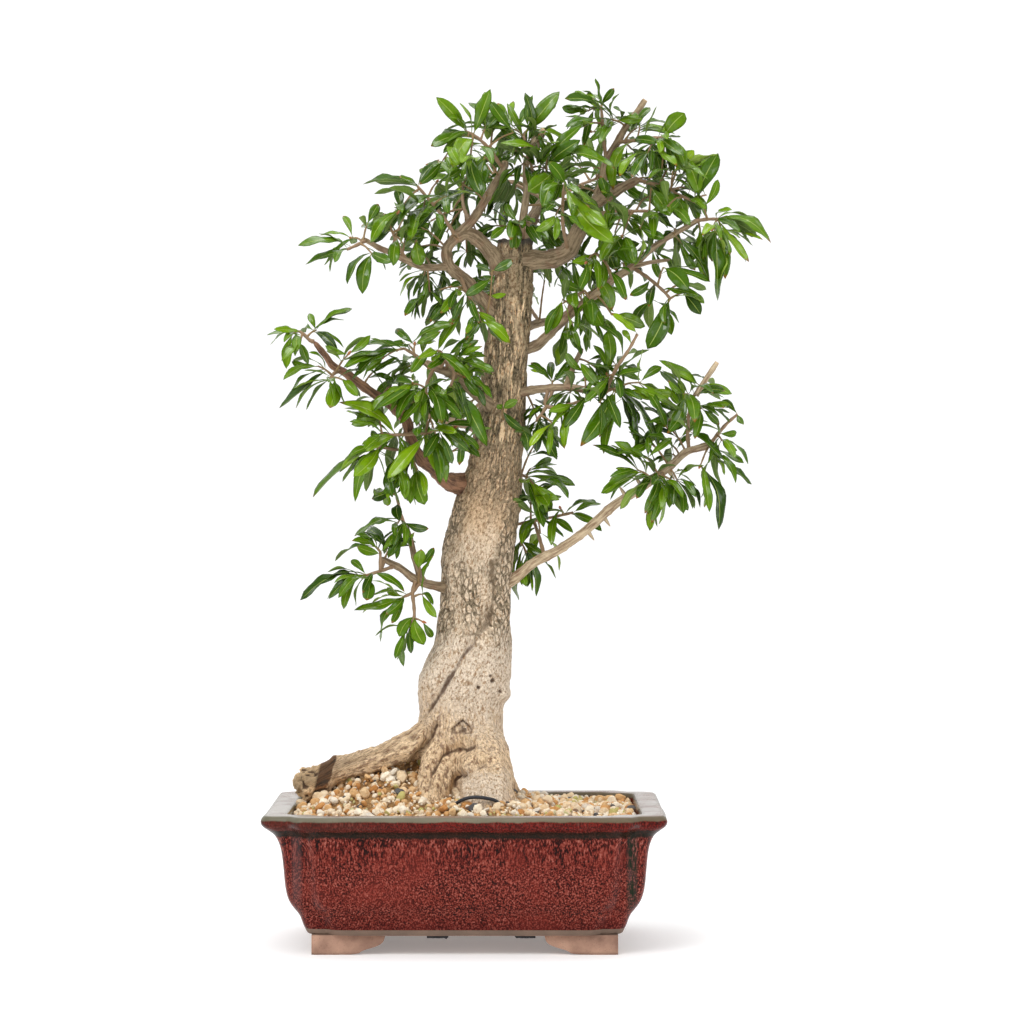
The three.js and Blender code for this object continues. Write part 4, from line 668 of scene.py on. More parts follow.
# Young shoots on the trunk's own bark: a line, then its leaves as base, tip and width.
TRUNK_SHOOTS = {
    "left_fork_low": [
        (
            [(18, -14, 424), (14.5, -24, 427), (17, -27, 443), (18.3, -27, 460)],
            [
                (18.3, -27, 459, 7, -31, 463.5, 5), (18.3, -27, 460, 33, -31, 467, 7),
                (17.8, -27, 455, 0, -32, 443, 7), (17, -27, 443, 28, -30, 444, 4),
                (15, -26, 431, 6, -30, 424, 5),
            ],
        ),
    ],
    "trunk_right": [
        (
            [(26, -12, 358), (25, -24, 361), (25.5, -26, 365)],
            [
                (25.5, -26, 365, 36, -30, 371, 6), (25.5, -26, 364, 40, -32, 350, 6),
                (25.5, -26, 365, 22, -30, 368, 5), (39, -24, 351, 43, -28, 336, 8),
            ],
        ),
    ],
}

# Sprays with fewer small leaves, by how their names begin.
THIN_SPRAYS = (
    "left_low", "right_low_tip", "right_upper", "right_mid", "left_tier_tip", "left_long", "crown_left_outer",
    "trunk_right", "left_tier_top",
)

# Folds in the trunk, carved in and darkened with painted shade, as lines of (x, z) with a depth and a
# half-width; the last value is 1 in front and -1 behind.
TRUNK_FOLDS = [
    ([(17.5, 264), (19, 250), (20, 236), (17.5, 222), (12, 211)], 1.8, 4.8, 1),
    ([(18.5, 238), (18.5, 230), (17, 221), (14.5, 214.5), (10.6, 209), (4.4, 201.5), (-3.9, 191.8),
      (-9.4, 183.5), (-14.2, 175.3), (-19, 166.3), (-25.9, 158), (-30.8, 149)], 3.4, 3.8, 1),
    ([(-19.5, 149), (-21.8, 144.9), (-25.9, 136.6), (-30.1, 129.1), (-35.6, 122.8)], 3.6, 2.0, 1),
    ([(9.4, 135.1), (-4.3, 130.3), (-13.2, 126.9), (-20.1, 120), (-24.2, 112.5), (-24.9, 102)], 3.2, 2.6, 1),
    ([(17.6, 124.2), (7.3, 120), (0.5, 114.6), (-6.4, 109.8), (-7.7, 102)], 3.4, 2.0, 1),
    ([(-14, 262), (-16, 240), (-13, 222)], 1.6, 1.8, 1),
    ([(-14, 236), (-4, 208), (8, 178), (15, 150), (22, 120), (26, 98)], 4.0, 2.4, -1),
    ([(12, 160), (-2, 136), (-14, 116), (-24, 98)], 3.2, 2.2, -1),
    ([(24, 330), (14, 300), (18, 262), (10, 236)], 1.8, 2.2, -1),
]
# The torn stub beyond the left root's cut, as (x, y, z, radius), and how far its cut leans.
DEAD_STUB = [(-97, -12, 109, 8.6), (-104, -12, 107, 9.8), (-111, -12, 104.8, 12), (-115, -12, 104, 12.4)]
STUB_SLANT = 0.23
# Places on the trunk's front, as (x, z); a hole has its radius too.
KNOT = (-2.5, 145.6)
HOLES = [
    (18.9, 177.3, 1.7), (9.2, 172.5, 1.3), (17.0, 180.5, 1.1), (-1.5, 168, 0.8), (0.5, 159, 0.8),
    (23.5, 169.5, 1.2),
]
BUMP = (27.5, 166.3)
# The width of the bark's plates in the middle of the trunk, and of its strips at the top.
BARK_CELL_SIZE = 6.2
BARK_STRIP_SIZE = 3.6

# Pruned stubs, as lines of (x, y, z, radius), drawn with the branch named.
STUBS = {
    "top_centre": [(41, -6, 546, 2.5), (47, -10, 551, 2.4), (54, -14, 559, 2.2)],
    "right_low": [(159, -34, 374, 2.0), (165, -36, 384, 2.0), (173, -38, 397, 1.8)],
}
# Branches that end in a saw cut, and spurs as (x, z, side).
CUT_ENDS = ("top_right", "top_centre", "left_fork")
THORNS = {"right_low": [(95, 292, -1), (112, 302, 1), (86, 279, -1), (124, 309, 1), (140, 322, -1)]}
# How much paler than grey-brown a branch is; below 0 it is browner.
PALE_LIMBS = {"right_low": 0.7, "right_upper": 0.3, "right_mid": 0.35, "top_centre": 0.45, "left_tier": -0.8}
GREY_LIMB = 0.15
LIMB_SLIM = 0.93

# The blade of a leaf, and how leaves are laid.
LEAF_ACROSS = 6
LEAF_ALONG = 11
LEAF_THICKNESS = 0.38
PETIOLE_END = 0.08
LEAF_LEAST_SHARE = 0.24
LISTED_WIDTH_SHARE = 0.86
BACK_LEAVES_FROM = 60
HULL_ROOM = 2.0
BACK_LIMIT = 121
LEAF_TRIES = 7
# The middle and the spread of the listed leaves' tones, and then for each kind of small leaf its least and
# greatest length, and the middle and spread of its tones.
LISTED_TONES = (0.42, 0.2)
# Tones are lower for leaves inside the crown than at the shoot tips: painted shade, on top of each leaf's
# random tone.
SMALL_LEAVES = {
    "shoot tip": ((22, 40), (0.5, 0.2)), "shoot": ((20, 37), (0.38, 0.16)),
    "stem tip": ((22, 41), (0.5, 0.2)), "stem": ((21, 38), (0.35, 0.16)),
    "bush tip": ((21, 38), (0.3, 0.18)), "bush": ((18, 34), (0.25, 0.15)),
}

# The camera's place in millimetres, how far it looks down in degrees, and its lens.
CAMERA_X = 32
CAMERA_Y = -2511
CAMERA_Z = 318
CAMERA_PITCH = 0.557
CAMERA_LENS = 126.56


def shade(red, green, blue):
    """A colour given as 0 to 255 on screen, as the linear colour that materials use."""
    parts = []
    for value in (red, green, blue):
        value /= 255
        parts.append(value / 12.92 if value <= 0.04045 else ((value + 0.055) / 1.055) ** 2.4)
    return (*parts, 1.0)


# ---- Numbers over space ----

def lattice(cell, seed):
    """A fixed number from 0 to 1 for each whole-numbered cell."""
    mixed = cell[..., 0] * 374761393 + cell[..., 1] * 668265263 + cell[..., 2] * 1013904223 + seed * 69069
    mixed = mixed & 0xFFFFFFFF
    mixed = ((mixed ^ (mixed >> 13)) * 1274126177) & 0xFFFFFFFF
    return (mixed ^ (mixed >> 16)) / 4294967296.0


def noise(points, size, seed):
    """Smooth noise from -1 to 1 whose lumps are about size apart."""
    q = points / size
    cell = np.floor(q).astype(np.int64)
    f = q - cell
    f = f * f * (3 - 2 * f)
    total = np.zeros(len(points))
    for corner in np.ndindex(2, 2, 2):
        corner = np.array(corner)
        share = np.prod(np.where(corner == 1, f, 1 - f), axis=1)
        total += share * lattice(cell + corner, seed)
    return total * 2 - 1


def noise_vectors(points, size, seed):
    return np.column_stack([noise(points, size, seed + axis) for axis in range(3)])


def layered(points, size, seed):
    """Noise with two finer layers on top of it."""
    total = np.zeros(len(points))
    for layer in range(3):
        total += noise(points, size / 2 ** layer, seed + layer) / 2 ** layer
    return total / 1.5


def cells(points, size, seed):
    """For cells about size across: how far each point is from its cell's edge, and the cell's own number."""
    q = points / size
    cell = np.floor(q).astype(np.int64)
    nearest = np.full(len(points), 9.0)
    second = np.full(len(points), 9.0)
    own = np.zeros(len(points))
    for shift in np.ndindex(3, 3, 3):
        near = cell + np.array(shift) - 1
        heart = near + np.stack([lattice(near, seed + axis) for axis in range(3)], axis=1)
        away = np.linalg.norm(heart - q, axis=1)
        closer = away < nearest
        second = np.where(closer, nearest, np.minimum(second, away))
        own = np.where(closer, lattice(near, seed + 3), own)
        nearest = np.minimum(nearest, away)
    return second - nearest, own


def rise(value, low, high):
    """0 below low, 1 above high, and smooth between."""
    t = np.clip((value - low) / (high - low), 0, 1)
    return t * t * (3 - 2 * t)


def fall(value, low, high):
    """1 below low, 0 above high, and smooth between."""
    return 1 - rise(value, low, high)


def hill(away, reach):
    """1 at the middle, falling off round it within a reach."""
    return np.exp(-(away / reach) ** 2)


def unit(vector):
    return vector / max(np.linalg.norm(vector), 1e-9)


def smooth_line(rows, step):
    """A smooth curve through the rows, with a point about every step; columns after z come along."""
    rows = np.asarray(rows, float)
    padded = np.vstack([2 * rows[0] - rows[1], rows, 2 * rows[-1] - rows[-2]])
    parts = []
    for a, b, c, d in zip(padded, padded[1:], padded[2:], padded[3:]):
        count = max(1, math.ceil(np.linalg.norm((c - b)[:3]) / step))
        t = (np.arange(count) / count)[:, None]
        curve = 2 * b + (c - a) * t + (2 * a - 5 * b + 4 * c - d) * t ** 2 + (3 * b - a - 3 * c + d) * t ** 3
        parts.append(0.5 * curve)
    parts.append(rows[-1:])
    return np.vstack(parts)


def steps_along(line):
    """How far along a line each of its points is."""
    return np.concatenate([[0], np.cumsum(np.linalg.norm(np.diff(line, axis=0), axis=1))])


def nearest_on(lines, point):
    """The place on any of the lines that is nearest to a point, and how far away it is."""
    best = None
    for line in lines:
        for start, end in zip(line, line[1:]):
            run = end - start
            share = np.clip(np.dot(point - start, run) / max(np.dot(run, run), 1e-9), 0, 1)
            place = start + run * share
            away = np.linalg.norm(point - place)
            if best is None or away < best[1]:
                best = (place, away)
    return best


# ---- Meshes ----

class Shape:
    """Points and faces gathered for one piece, in millimetres about the pot's centre."""

    def __init__(self):
        self.points = []
        self.faces = {3: [], 4: []}
        self.finishes = {3: [], 4: []}
        self.values = {}
        self.total = 0

    def add_faces(self, corners, faces, start, finish):
        self.faces[corners].append(np.asarray(faces, np.int64) + start)
        self.finishes[corners].append(np.full(len(faces), finish))

    def add(self, points, triangles=(), quads=(), finish=0, **values):
        """Points with their faces; each named value is one for all the points or one for each."""
        for corners, faces in ((3, triangles), (4, quads)):
            if len(faces):
                self.add_faces(corners, faces, self.total, finish)
        for name, value in values.items():
            value = np.broadcast_to(np.asarray(value, float), (len(points), *np.shape(value)[1:]))
            self.values.setdefault(name, []).append((self.total, value))
        self.points.append(points)
        self.total += len(points)

    def add_tube(self, line, radii, sides, where_name="", finish=0, **values):
        """A closed tube; under where_name it keeps where each point lies round and along it."""
        points, fans, quads, where = tube(line, radii, sides)
        if where_name:
            values = {where_name: where * MM, **values}
        self.add(points, fans, quads, finish, **values)

    def mesh(self, name):
        """The gathered faces as a Blender mesh, in metres in the row's frame."""
        mesh = bpy.data.meshes.new(name)
        points = (np.vstack(self.points) + POT_CENTRE) * MM
        groups = [faces for count in (3, 4) for faces in self.faces[count]]
        finishes = [finish for count in (3, 4) for finish in self.finishes[count]]
        corners = np.concatenate([faces.ravel() for faces in groups])
        lengths = np.concatenate([np.full(len(faces), faces.shape[1]) for faces in groups])
        mesh.vertices.add(len(points))
        mesh.vertices.foreach_set("co", points.ravel())
        mesh.loops.add(len(corners))
        mesh.loops.foreach_set("vertex_index", corners.astype(np.int32))
        mesh.polygons.add(len(lengths))
        starts = np.concatenate([[0], np.cumsum(lengths)[:-1]])
        mesh.polygons.foreach_set("loop_start", starts.astype(np.int32))
        mesh.polygons.foreach_set("material_index", np.concatenate(finishes).astype(np.int32))
        mesh.update(calc_edges=True)
        for value_name, parts in self.values.items():
            whole = np.zeros((self.total, *parts[0][1].shape[1:]))
            for start, value in parts:
                whole[start:start + len(value)] = value
            write_attribute(mesh, value_name, whole)
        return mesh


def write_attribute(mesh, name, whole):
    """Keep a number or a vector for each point of a mesh, for its material to read."""
    kind, field = ("FLOAT_VECTOR", "vector") if whole.ndim > 1 else ("FLOAT", "value")
    mesh.attributes.new(name, kind, "POINT").data.foreach_set(field, whole.astype(np.float32).ravel())


def put(name, data):
    """A new object in the scene."""
    piece = bpy.data.objects.new(name, data)
    bpy.context.scene.collection.objects.link(piece)
    return piece


def place(name, mesh, finishes, slot, nodes, smooth=True):
    """Put a piece in the scene in place of the CAD nodes that it stands for."""
    piece = put(name, mesh)
    picks = np.zeros(len(mesh.polygons), np.int32)
    mesh.polygons.foreach_get("material_index", picks)
    mesh.materials.clear()
    for finish in finishes:
        mesh.materials.append(finish_named(finish))
    mesh.polygons.foreach_set("material_index", picks)
    mesh.polygons.foreach_set("use_smooth", np.full(len(mesh.polygons), smooth))
    mesh.update()
    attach(piece, "root")
    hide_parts(*nodes)
    return piece


def modify(piece, kind, **settings):
    """Add a modifier with its settings."""
    modifier = piece.modifiers.new(kind, kind)
    for name, value in settings.items():
        setattr(modifier, name, value)


def applied(piece):
    """The mesh of an object with its modifiers applied."""
    bpy.context.view_layer.update()
    shown = piece.evaluated_get(bpy.context.evaluated_depsgraph_get())
    mesh = bpy.data.meshes.new_from_object(shown)
    bpy.data.objects.remove(piece)
    return mesh


def skin_of_rings(levels, count):
    """The faces of a closed form made of rings: quads between them, and a fan to a last point at each end."""
    index = np.arange(levels * count).reshape(levels, count)
    turned = np.roll(index, -1, axis=1)
    quads = np.stack([index[:-1], turned[:-1], turned[1:], index[1:]], axis=-1).reshape(-1, 4)
    first = np.full(count, levels * count)
    fans = [
        np.stack([first, turned[0], index[0]], axis=1),
        np.stack([first + 1, index[-1], turned[-1]], axis=1),
    ]
    return np.vstack(fans), quads


def tube(line, radii, sides):
    """A closed tube: points, triangles, quads, and for each point where it lies round and along the tube."""
    runs = np.gradient(line, axis=0)
    runs /= np.maximum(np.linalg.norm(runs, axis=1), 1e-9)[:, None]
    across = np.cross(runs[0], (0, 1, 0) if abs(runs[0][2]) > 0.7 else (0, 0, 1))
    frames = []
    for run in runs:
        across = unit(across - run * np.dot(across, run))
        frames.append((across, np.cross(run, across)))
    angles = np.arange(sides) * 2 * math.pi / sides
    circle = np.stack([np.cos(angles), np.sin(angles)], axis=1)
    rings = np.array([circle @ np.array(pair) for pair in frames])
    radii = np.asarray(radii, float)
    radii = radii[:, None] if radii.ndim == 1 else radii
    points = line[:, None] + rings * radii[..., None]
    steps = steps_along(line)
    spread = np.broadcast_to(radii, (len(line), sides))
    along = np.repeat(steps[:, None], sides, axis=1)
    where = np.stack([circle[:, 0] * spread, circle[:, 1] * spread, along], axis=2)
    points = np.vstack([points.reshape(-1, 3), line[0], line[-1]])
    where = np.vstack([where.reshape(-1, 3), [[0, 0, steps[0]], [0, 0, steps[-1]]]])
    return points, *skin_of_rings(len(line), sides), where


def loft(rings):
    """A closed form through rings of equal count: points, triangles and quads."""
    rings = np.asarray(rings, float)
    points = np.vstack([rings.reshape(-1, 3), rings[0].mean(axis=0), rings[-1].mean(axis=0)])
    return points, *skin_of_rings(*rings.shape[:2])


def eased(rows, passes):
    """A line with its corners rounded and its ends kept."""
    rows = np.asarray(rows, float)
    for _ in range(passes):
        near = rows[:-1] * 0.75 + rows[1:] * 0.25
        far = rows[:-1] * 0.25 + rows[1:] * 0.75
        middle = np.stack([near, far], axis=1).reshape(-1, rows.shape[1])
        rows = np.vstack([rows[:1], middle[1:-1], rows[-1:]])
    return rows


# ---- Materials ----

def operation(kind, turned=False):
    """A method that adds one Math node; turned is for a number that stands before the socket."""
    def method(self, *others):
        values = (*others, self) if turned else (self, *others)
        return self.paint.add("ShaderNodeMath", {"operation": kind}, values)
    return method


class Wire:
    """One socket of a material; sums written on it add Math nodes."""

    def __init__(self, paint, socket):
        self.paint = paint
        self.socket = socket

    __add__ = __radd__ = operation("ADD")
    __sub__ = operation("SUBTRACT")
    __rsub__ = operation("SUBTRACT", turned=True)
    __mul__ = __rmul__ = operation("MULTIPLY")
    __truediv__ = operation("DIVIDE")
    __abs__ = operation("ABSOLUTE")
    sine = operation("SINE")
    most = operation("MAXIMUM")

    def rise(self, low, high):
        """0 below low, 1 above high, and smooth between."""
        sockets = {"Value": self, "From Min": low, "From Max": high, "To Min": 0.0, "To Max": 1.0}
        return self.paint.add("ShaderNodeMapRange", {"interpolation_type": "SMOOTHSTEP"}, sockets)

    def fall(self, low, high):
        """1 below low, 0 above high, and smooth between."""
        return 1 - self.rise(low, high)


def tint(colour):
    """A screen colour as a linear one; a socket or a linear colour stays as it is."""
    return colour if isinstance(colour, Wire) or len(colour) == 4 else shade(*colour)


class Paint:
    """A new material and the nodes in it. Colours are given as they are on screen, from 0 to 255."""

    def __init__(self, name):
        self.material = bpy.data.materials.new(name)
        self.material.use_nodes = True
        self.tree = self.material.node_tree
        self.tree.nodes.clear()

    def add(self, kind, settings=None, sockets=None, output=0):
        """A node of a type, its settings first, then the values or links of its sockets."""
        node = self.tree.nodes.new(kind)
        for key, value in (settings or {}).items():
            if key == "stops":
                self.set_stops(node.color_ramp.elements, value)
            else:
                setattr(node, key, value)
        pairs = sockets.items() if isinstance(sockets, dict) else enumerate(sockets or ())
        for key, value in pairs:
            if isinstance(value, Wire):
                self.tree.links.new(value.socket, node.inputs[key])
            else:
                node.inputs[key].default_value = value
        return Wire(self, node.outputs[output]) if node.outputs else None

    def set_stops(self, elements, stops):
        while len(elements) < len(stops):
            elements.new(0.5)
        for element, (position, colour) in zip(elements, stops):
            element.position = position
            element.color = tint(colour)

    def spot(self):
        """Where a point is, in metres in the object's own frame."""
        return self.add("ShaderNodeTexCoord", output="Object")

    def attribute(self, name, output="Fac"):
        return self.add("ShaderNodeAttribute", {"attribute_name": name}, output=output)

    def axis(self, vector, index):
        return self.add("ShaderNodeSeparateXYZ", sockets=[vector], output=index)

    def measure(self, vector, index):
        """A place along one axis, in millimetres about the pot's centre."""
        return self.axis(vector, index) / MM - float(POT_CENTRE[index])

    def squeezed(self, vector, share):
        """A place with its height scaled, so that a pattern on it is drawn out along the height."""
        return self.add("ShaderNodeVectorMath", {"operation": "MULTIPLY"}, [vector, (1.0, 1.0, share)])

    def noise(self, vector, scale, detail=3.0, roughness=0.55, squeeze=None):
        if squeeze:
            vector = self.squeezed(vector, squeeze)
        values = {"Vector": vector, "Scale": scale, "Detail": detail, "Roughness": roughness}
        return self.add("ShaderNodeTexNoise", sockets=values)

    def cells(self, vector, scale, feature="F1"):
        values = {"Vector": vector, "Scale": scale}
        return self.add("ShaderNodeTexVoronoi", {"feature": feature}, values, "Distance")

    def edges(self, vector, scale, squeeze):
        """How far a point is from the edge of the drawn-out cell that it is in."""
        return self.cells(self.squeezed(vector, squeeze), scale, "DISTANCE_TO_EDGE")

    def mix(self, share, under, over):
        """Two colours, with over laid on under by a share."""
        settings = {"data_type": "RGBA", "blend_type": "MIX"}
        return self.add("ShaderNodeMix", settings, {0: share, 6: tint(under), 7: tint(over)}, 2)

    def two_tone(self, pattern, low, high, under, over):
        """Under where a pattern is below low, over where it is above high."""
        return self.mix(pattern.rise(low, high), under, over)

    def coats(self, colour, *coats):
        """A colour with others laid on it one after another, each as (share, colour)."""
        for share, over in coats:
            colour = self.mix(share, colour, over)
        return colour

    def ramp(self, value, *stops):
        return self.add("ShaderNodeValToRGB", {"stops": stops}, [value])

    def bump(self, height, depth, strength=1.0):
        return self.add("ShaderNodeBump", sockets={"Height": height, "Distance": depth, "Strength": strength})

    def finish(self, **sockets):
        """The surface itself, from the names of the shader's sockets."""
        values = {name.replace("_", " "): value for name, value in sockets.items()}
        surface = self.add("ShaderNodeBsdfPrincipled", sockets=values)
        self.add("ShaderNodeOutputMaterial", sockets={"Surface": surface})
        return self.material


def glaze_finish():
    """Oxblood glaze: pale green lip, painted shadow under it, painted reflection and stains on the rim top,
    streaks that break into grains, pools and a painted highlight in grooves.
    """
    paint = Paint("oxblood_glaze")
    spot = paint.spot()
    height = paint.measure(spot, 2)
    across = paint.measure(spot, 0)
    wander = paint.noise(spot, 60.0) * 2 - 1
    level = height + wander * 1.6
    streaks = paint.noise(spot, 900.0, 3.0, 0.65, squeeze=0.22)
    runs = paint.noise(spot, 130.0, 3.0, 0.5, squeeze=0.10)
    grains = paint.noise(spot, 940.0, 3.0, 0.7, squeeze=0.8)
    clouds = paint.noise(spot, 34.0, 3.0, 0.5)
    high = level.rise(44.0, 76.0)
    dark_mark = (streaks * high + grains * (1 - high)) + (runs - 0.5) * 0.3 * high
    body = paint.ramp(
        dark_mark, (0.30, (166, 104, 92)), (0.41, (139, 66, 54)),
        (0.49, bpy.context.scene.bonsai.glaze_colour), (0.545, (50, 10, 6)), (0.62, (16, 6, 4)),
    )
    from_groove = abs(abs(across) - (POT_HALF_WIDTH - LOBE_WIDTH - 4.0))
    groove = from_groove.fall(1.2, 5.0) * level.rise(18.0, 36.0)
    # Painted shadow: near black in the cove under the lip, where the overhang shades the wall.
    lip_shadow = level.rise(LIP_SHADOW_FROM, LIP_SHADOW_FROM + 2.5) * level.fall(*RED_LIP)
    lip_red = paint.two_tone(grains, 0.38, 0.58, (116, 26, 20), (40, 10, 8))
    lip_red = paint.mix(across.fall(-90.0, -20.0) * 0.6, lip_red, (62, 36, 28))
    celadon = paint.mix(clouds, (84, 82, 66), (128, 124, 106))
    celadon = paint.mix(across.rise(0.0, 110.0) * 0.6, celadon, (88, 74, 54))
    # The rim top: a pale grey painted reflection, with reddish-brown stains in it.
    rim_reflection_and_stains = paint.two_tone(clouds, 0.42, 0.62, (186, 180, 174), (146, 124, 114))
    celadon = paint.mix(height.rise(89.6, 90.4) * 0.7, celadon, rim_reflection_and_stains)
    green_lip = (height + wander * 0.7 + (runs - 0.5) * 2.0).rise(*GREEN_LIP)
    body = paint.coats(
        body,
        (clouds.rise(0.45, 0.75) * 0.35, (124, 44, 34)),
        (level.fall(11.0, 22.0) * 0.45, (70, 12, 10)),
        # Painted highlight: a grey sheen in both grooves; the dark green drip below is the glaze's own
        # colour.
        (groove * (0.2 + runs * 0.4), (84, 72, 72)),
        (groove * across.rise(20.0, 60.0) * streaks.rise(0.35, 0.6), (24, 34, 20)),
        # Painted shadow under the lip.
        (lip_shadow * 0.9, (22, 22, 14)),
        (level.rise(*RED_LIP) * 0.8, lip_red),
        (green_lip * 0.92, celadon),
        (green_lip * streaks.rise(0.62, 0.72) * 0.5, (82, 50, 40)),
    )
    relief = paint.bump(grains + clouds * 1.5, 0.00022, 0.5)
    return paint.finish(
        Base_Color=body, Roughness=0.16 + grains * 0.12, Normal=relief, Specular_IOR_Level=0.07,
        Coat_Weight=0.05, Coat_Roughness=0.04,
    )


def clay_finish():
    """The bare fired clay of the feet, the underside and the inside."""
    paint = Paint("fired_clay")
    spot = paint.spot()
    height = paint.measure(spot, 2)
    grit = paint.noise(spot, 900.0, 4.0, 0.7)
    clouds = paint.noise(spot, 70.0)
    colour = paint.coats(
        paint.two_tone(clouds, 0.2, 0.8, (128, 96, 80), (180, 142, 120)),
        (grit.rise(0.56, 0.72) * 0.55, (84, 58, 48)),
        (height.rise(6.6, 8.2) * 0.75, (92, 80, 68)),
        (height.fall(-5.7, -3.6) * 0.4, (80, 60, 52)),
    )
    return paint.finish(Base_Color=colour, Roughness=0.72 + grit * 0.2, Normal=paint.bump(grit, 0.0003, 0.8))


def gravel_finish():
    """Baked clay and pumice granules, a few dark and a few mossy, by each grain's own number."""
    paint = Paint("gravel")
    spot = paint.spot()
    pores = paint.noise(spot, 1500.0, 4.0, 0.7)
    stains = paint.noise(spot, 330.0, 3.0, 0.6)
    colour = paint.ramp(
        paint.attribute("grain"), (0.0, (58, 60, 66)), (0.035, (90, 88, 86)), (0.05, (184, 126, 66)),
        (0.16, (204, 152, 92)), (0.32, (216, 178, 128)), (0.50, (230, 208, 174)), (0.80, (242, 230, 208)),
        (0.93, (214, 204, 190)), (0.965, (176, 170, 92)), (1.0, (196, 184, 120)),
    )
    colour = paint.coats(
        colour,
        (stains.rise(0.52, 0.74) * 0.6, (176, 122, 70)),
        (pores.rise(0.58, 0.72) * 0.6, (126, 92, 60)),
    )
    return paint.finish(Base_Color=colour, Roughness=0.85, Normal=paint.bump(pores + stains, 0.0005, 0.9))


def soil_finish():
    """Dark damp grit between and under the granules."""
    paint = Paint("soil")
    spot = paint.spot()
    grit = paint.noise(spot, 700.0, 5.0, 0.75)
    lumps = paint.cells(spot, 260.0)
    colour = paint.ramp(grit, (0.3, (96, 68, 40)), (0.5, (168, 126, 74)), (0.7, (206, 168, 112)))
    colour = paint.mix(lumps.rise(0.3, 0.7) * 0.45, colour, (96, 70, 44))
    return paint.finish(Base_Color=colour, Roughness=0.95, Normal=paint.bump(grit - lumps, 0.0008, 0.9))


def trunk_finish():
    """Pale scaly bark low down, cracked plates in the middle, and dark fissured bark above."""
    paint = Paint("trunk_bark")
    spot = paint.spot()
    grain = paint.attribute("grain", "Vector")
    plate = paint.attribute("plate")
    height = paint.measure(spot, 2)
    across = paint.measure(spot, 0)
    blotch = paint.noise(spot, 55.0, 4.0, 0.6)
    fine = paint.noise(grain, 620.0, 4.0, 0.72, squeeze=0.7)
    specks = paint.noise(grain, 400.0, 3.0, 0.62, squeeze=0.5)
    strands = paint.noise(grain, 330.0, 4.0, 0.65, squeeze=0.18)
    wrinkles = paint.noise(grain, 520.0, 4.0, 0.7, squeeze=0.3)
    patches = paint.noise(spot, 46.0, 3.0, 0.6, squeeze=0.35)
    level = height + (blotch - 0.5) * 50.0
    bends = paint.add("ShaderNodeTexNoise", sockets={"Vector": grain, "Scale": 150.0}, output=1)
    warp = paint.add("ShaderNodeVectorMath", {"operation": "SCALE"}, {0: bends, "Scale": 0.004})
    curved = paint.add("ShaderNodeVectorMath", {"operation": "ADD"}, [grain, warp])
    gape = specks * 0.26 - 0.06
    low = level.fall(196.0, 216.0)
    top = level.rise(332.0, 350.0)
    lobe = abs(across - 14.0).fall(12.0, 22.0) * height.fall(110.0, 124.0)
    golden = (level + across * 0.3).fall(124.0, 172.0) * (1 - lobe * 0.85)
    pale = paint.coats(
        paint.two_tone(fine, 0.34, 0.54, (150, 120, 88), (236, 219, 197)),
        (specks.rise(0.54, 0.64) * 0.5, (196, 158, 112)),
        (golden * 0.8, paint.two_tone(wrinkles, 0.38, 0.56, (122, 80, 42), (246, 214, 170))),
        (specks.rise(0.60, 0.68) * 0.6, (120, 86, 56)),
    )
    plates = paint.two_tone(fine, 0.36, 0.56, (158, 128, 94), (234, 213, 186))
    plates = paint.mix(strands.rise(0.54, 0.64) * 0.45, plates, (160, 128, 94))
    scales = paint.edges(curved, 560.0, 0.6).fall(0.02, 0.16) * (1 - top)
    flecks = paint.two_tone(fine, 0.34, 0.56, (200, 150, 102), (255, 224, 182))
    flecked = strands.rise(0.44, 0.50) * (0.7 + plate * 0.3) * (0.3 + patches.rise(0.42, 0.54) * 0.7)
    dark = paint.mix(flecked, paint.two_tone(fine, 0.36, 0.64, (62, 54, 36), (142, 124, 92)), flecks)
    side = abs(paint.axis(grain, 0) / MM + 1.0)
    open_places = (patches + side.rise(8.0, 22.0) * 0.18).rise(0.44, 0.62)
    open_places = open_places * level.rise(186.0, 214.0) * level.fall(286.0, 316.0)
    split = (paint.edges(curved, 310.0, 0.46) - gape).fall(0.0, 0.08) * open_places
    grooves = (paint.edges(curved, 360.0, 0.13) - gape).fall(0.0, 0.10)
    split = split.most(grooves * level.rise(276.0, 306.0) * patches.rise(0.36, 0.58) * 0.85)
    slanted = across - (height - 110.0) * STUB_SLANT
    near_soil = height.fall(126.0, 132.0)
    stub = slanted.fall(-103.5, -101.5) * near_soil
    # The colour of the bark's darker cracks and of the painted shade in its folds, pits, knot and holes.
    deep = paint.mix(height.rise(196.0, 232.0), (74, 48, 30), (118, 100, 76))
    deep = paint.mix(height.rise(310.0, 350.0), deep, (58, 50, 36))
    collar_edge = slanted + (blotch - 0.5) * 9.0 - (height - 104.0) * 0.12
    collar = slanted.rise(-104.0, -102.0) * collar_edge.fall(-96.0, -94.6) * near_soil
    colour = paint.coats(
        pale,
        (1 - low, plates),
        (level.rise(262.0, 300.0) * 0.75, paint.two_tone(fine, 0.36, 0.57, (146, 112, 74), (228, 192, 150))),
        (scales * 0.22, (140, 108, 76)),
        (top, dark),
        (split * 0.9, paint.two_tone(fine, 0.38, 0.60, (72, 63, 46), (146, 128, 100))),
        (stub * 0.8, paint.two_tone(fine, 0.32, 0.52, (120, 86, 54), (232, 198, 152))),
        # Painted shade in folds, pits, the knot and holes, together with the darker colour in the bark's
        # cracks.
        (paint.attribute("crack").rise(0.15, 0.85) * 0.88, deep),
        (height.rise(478.0, 482.0) * 0.85, (60, 58, 56)),
        (collar * 0.95, paint.two_tone(strands, 0.36, 0.62, (38, 24, 14), (128, 86, 50))),
    )
    relief = fine + strands * 0.8 - scales * 0.5 - split * 1.6
    return paint.finish(Base_Color=colour, Roughness=0.86, Normal=paint.bump(relief, 0.0011, 0.9))


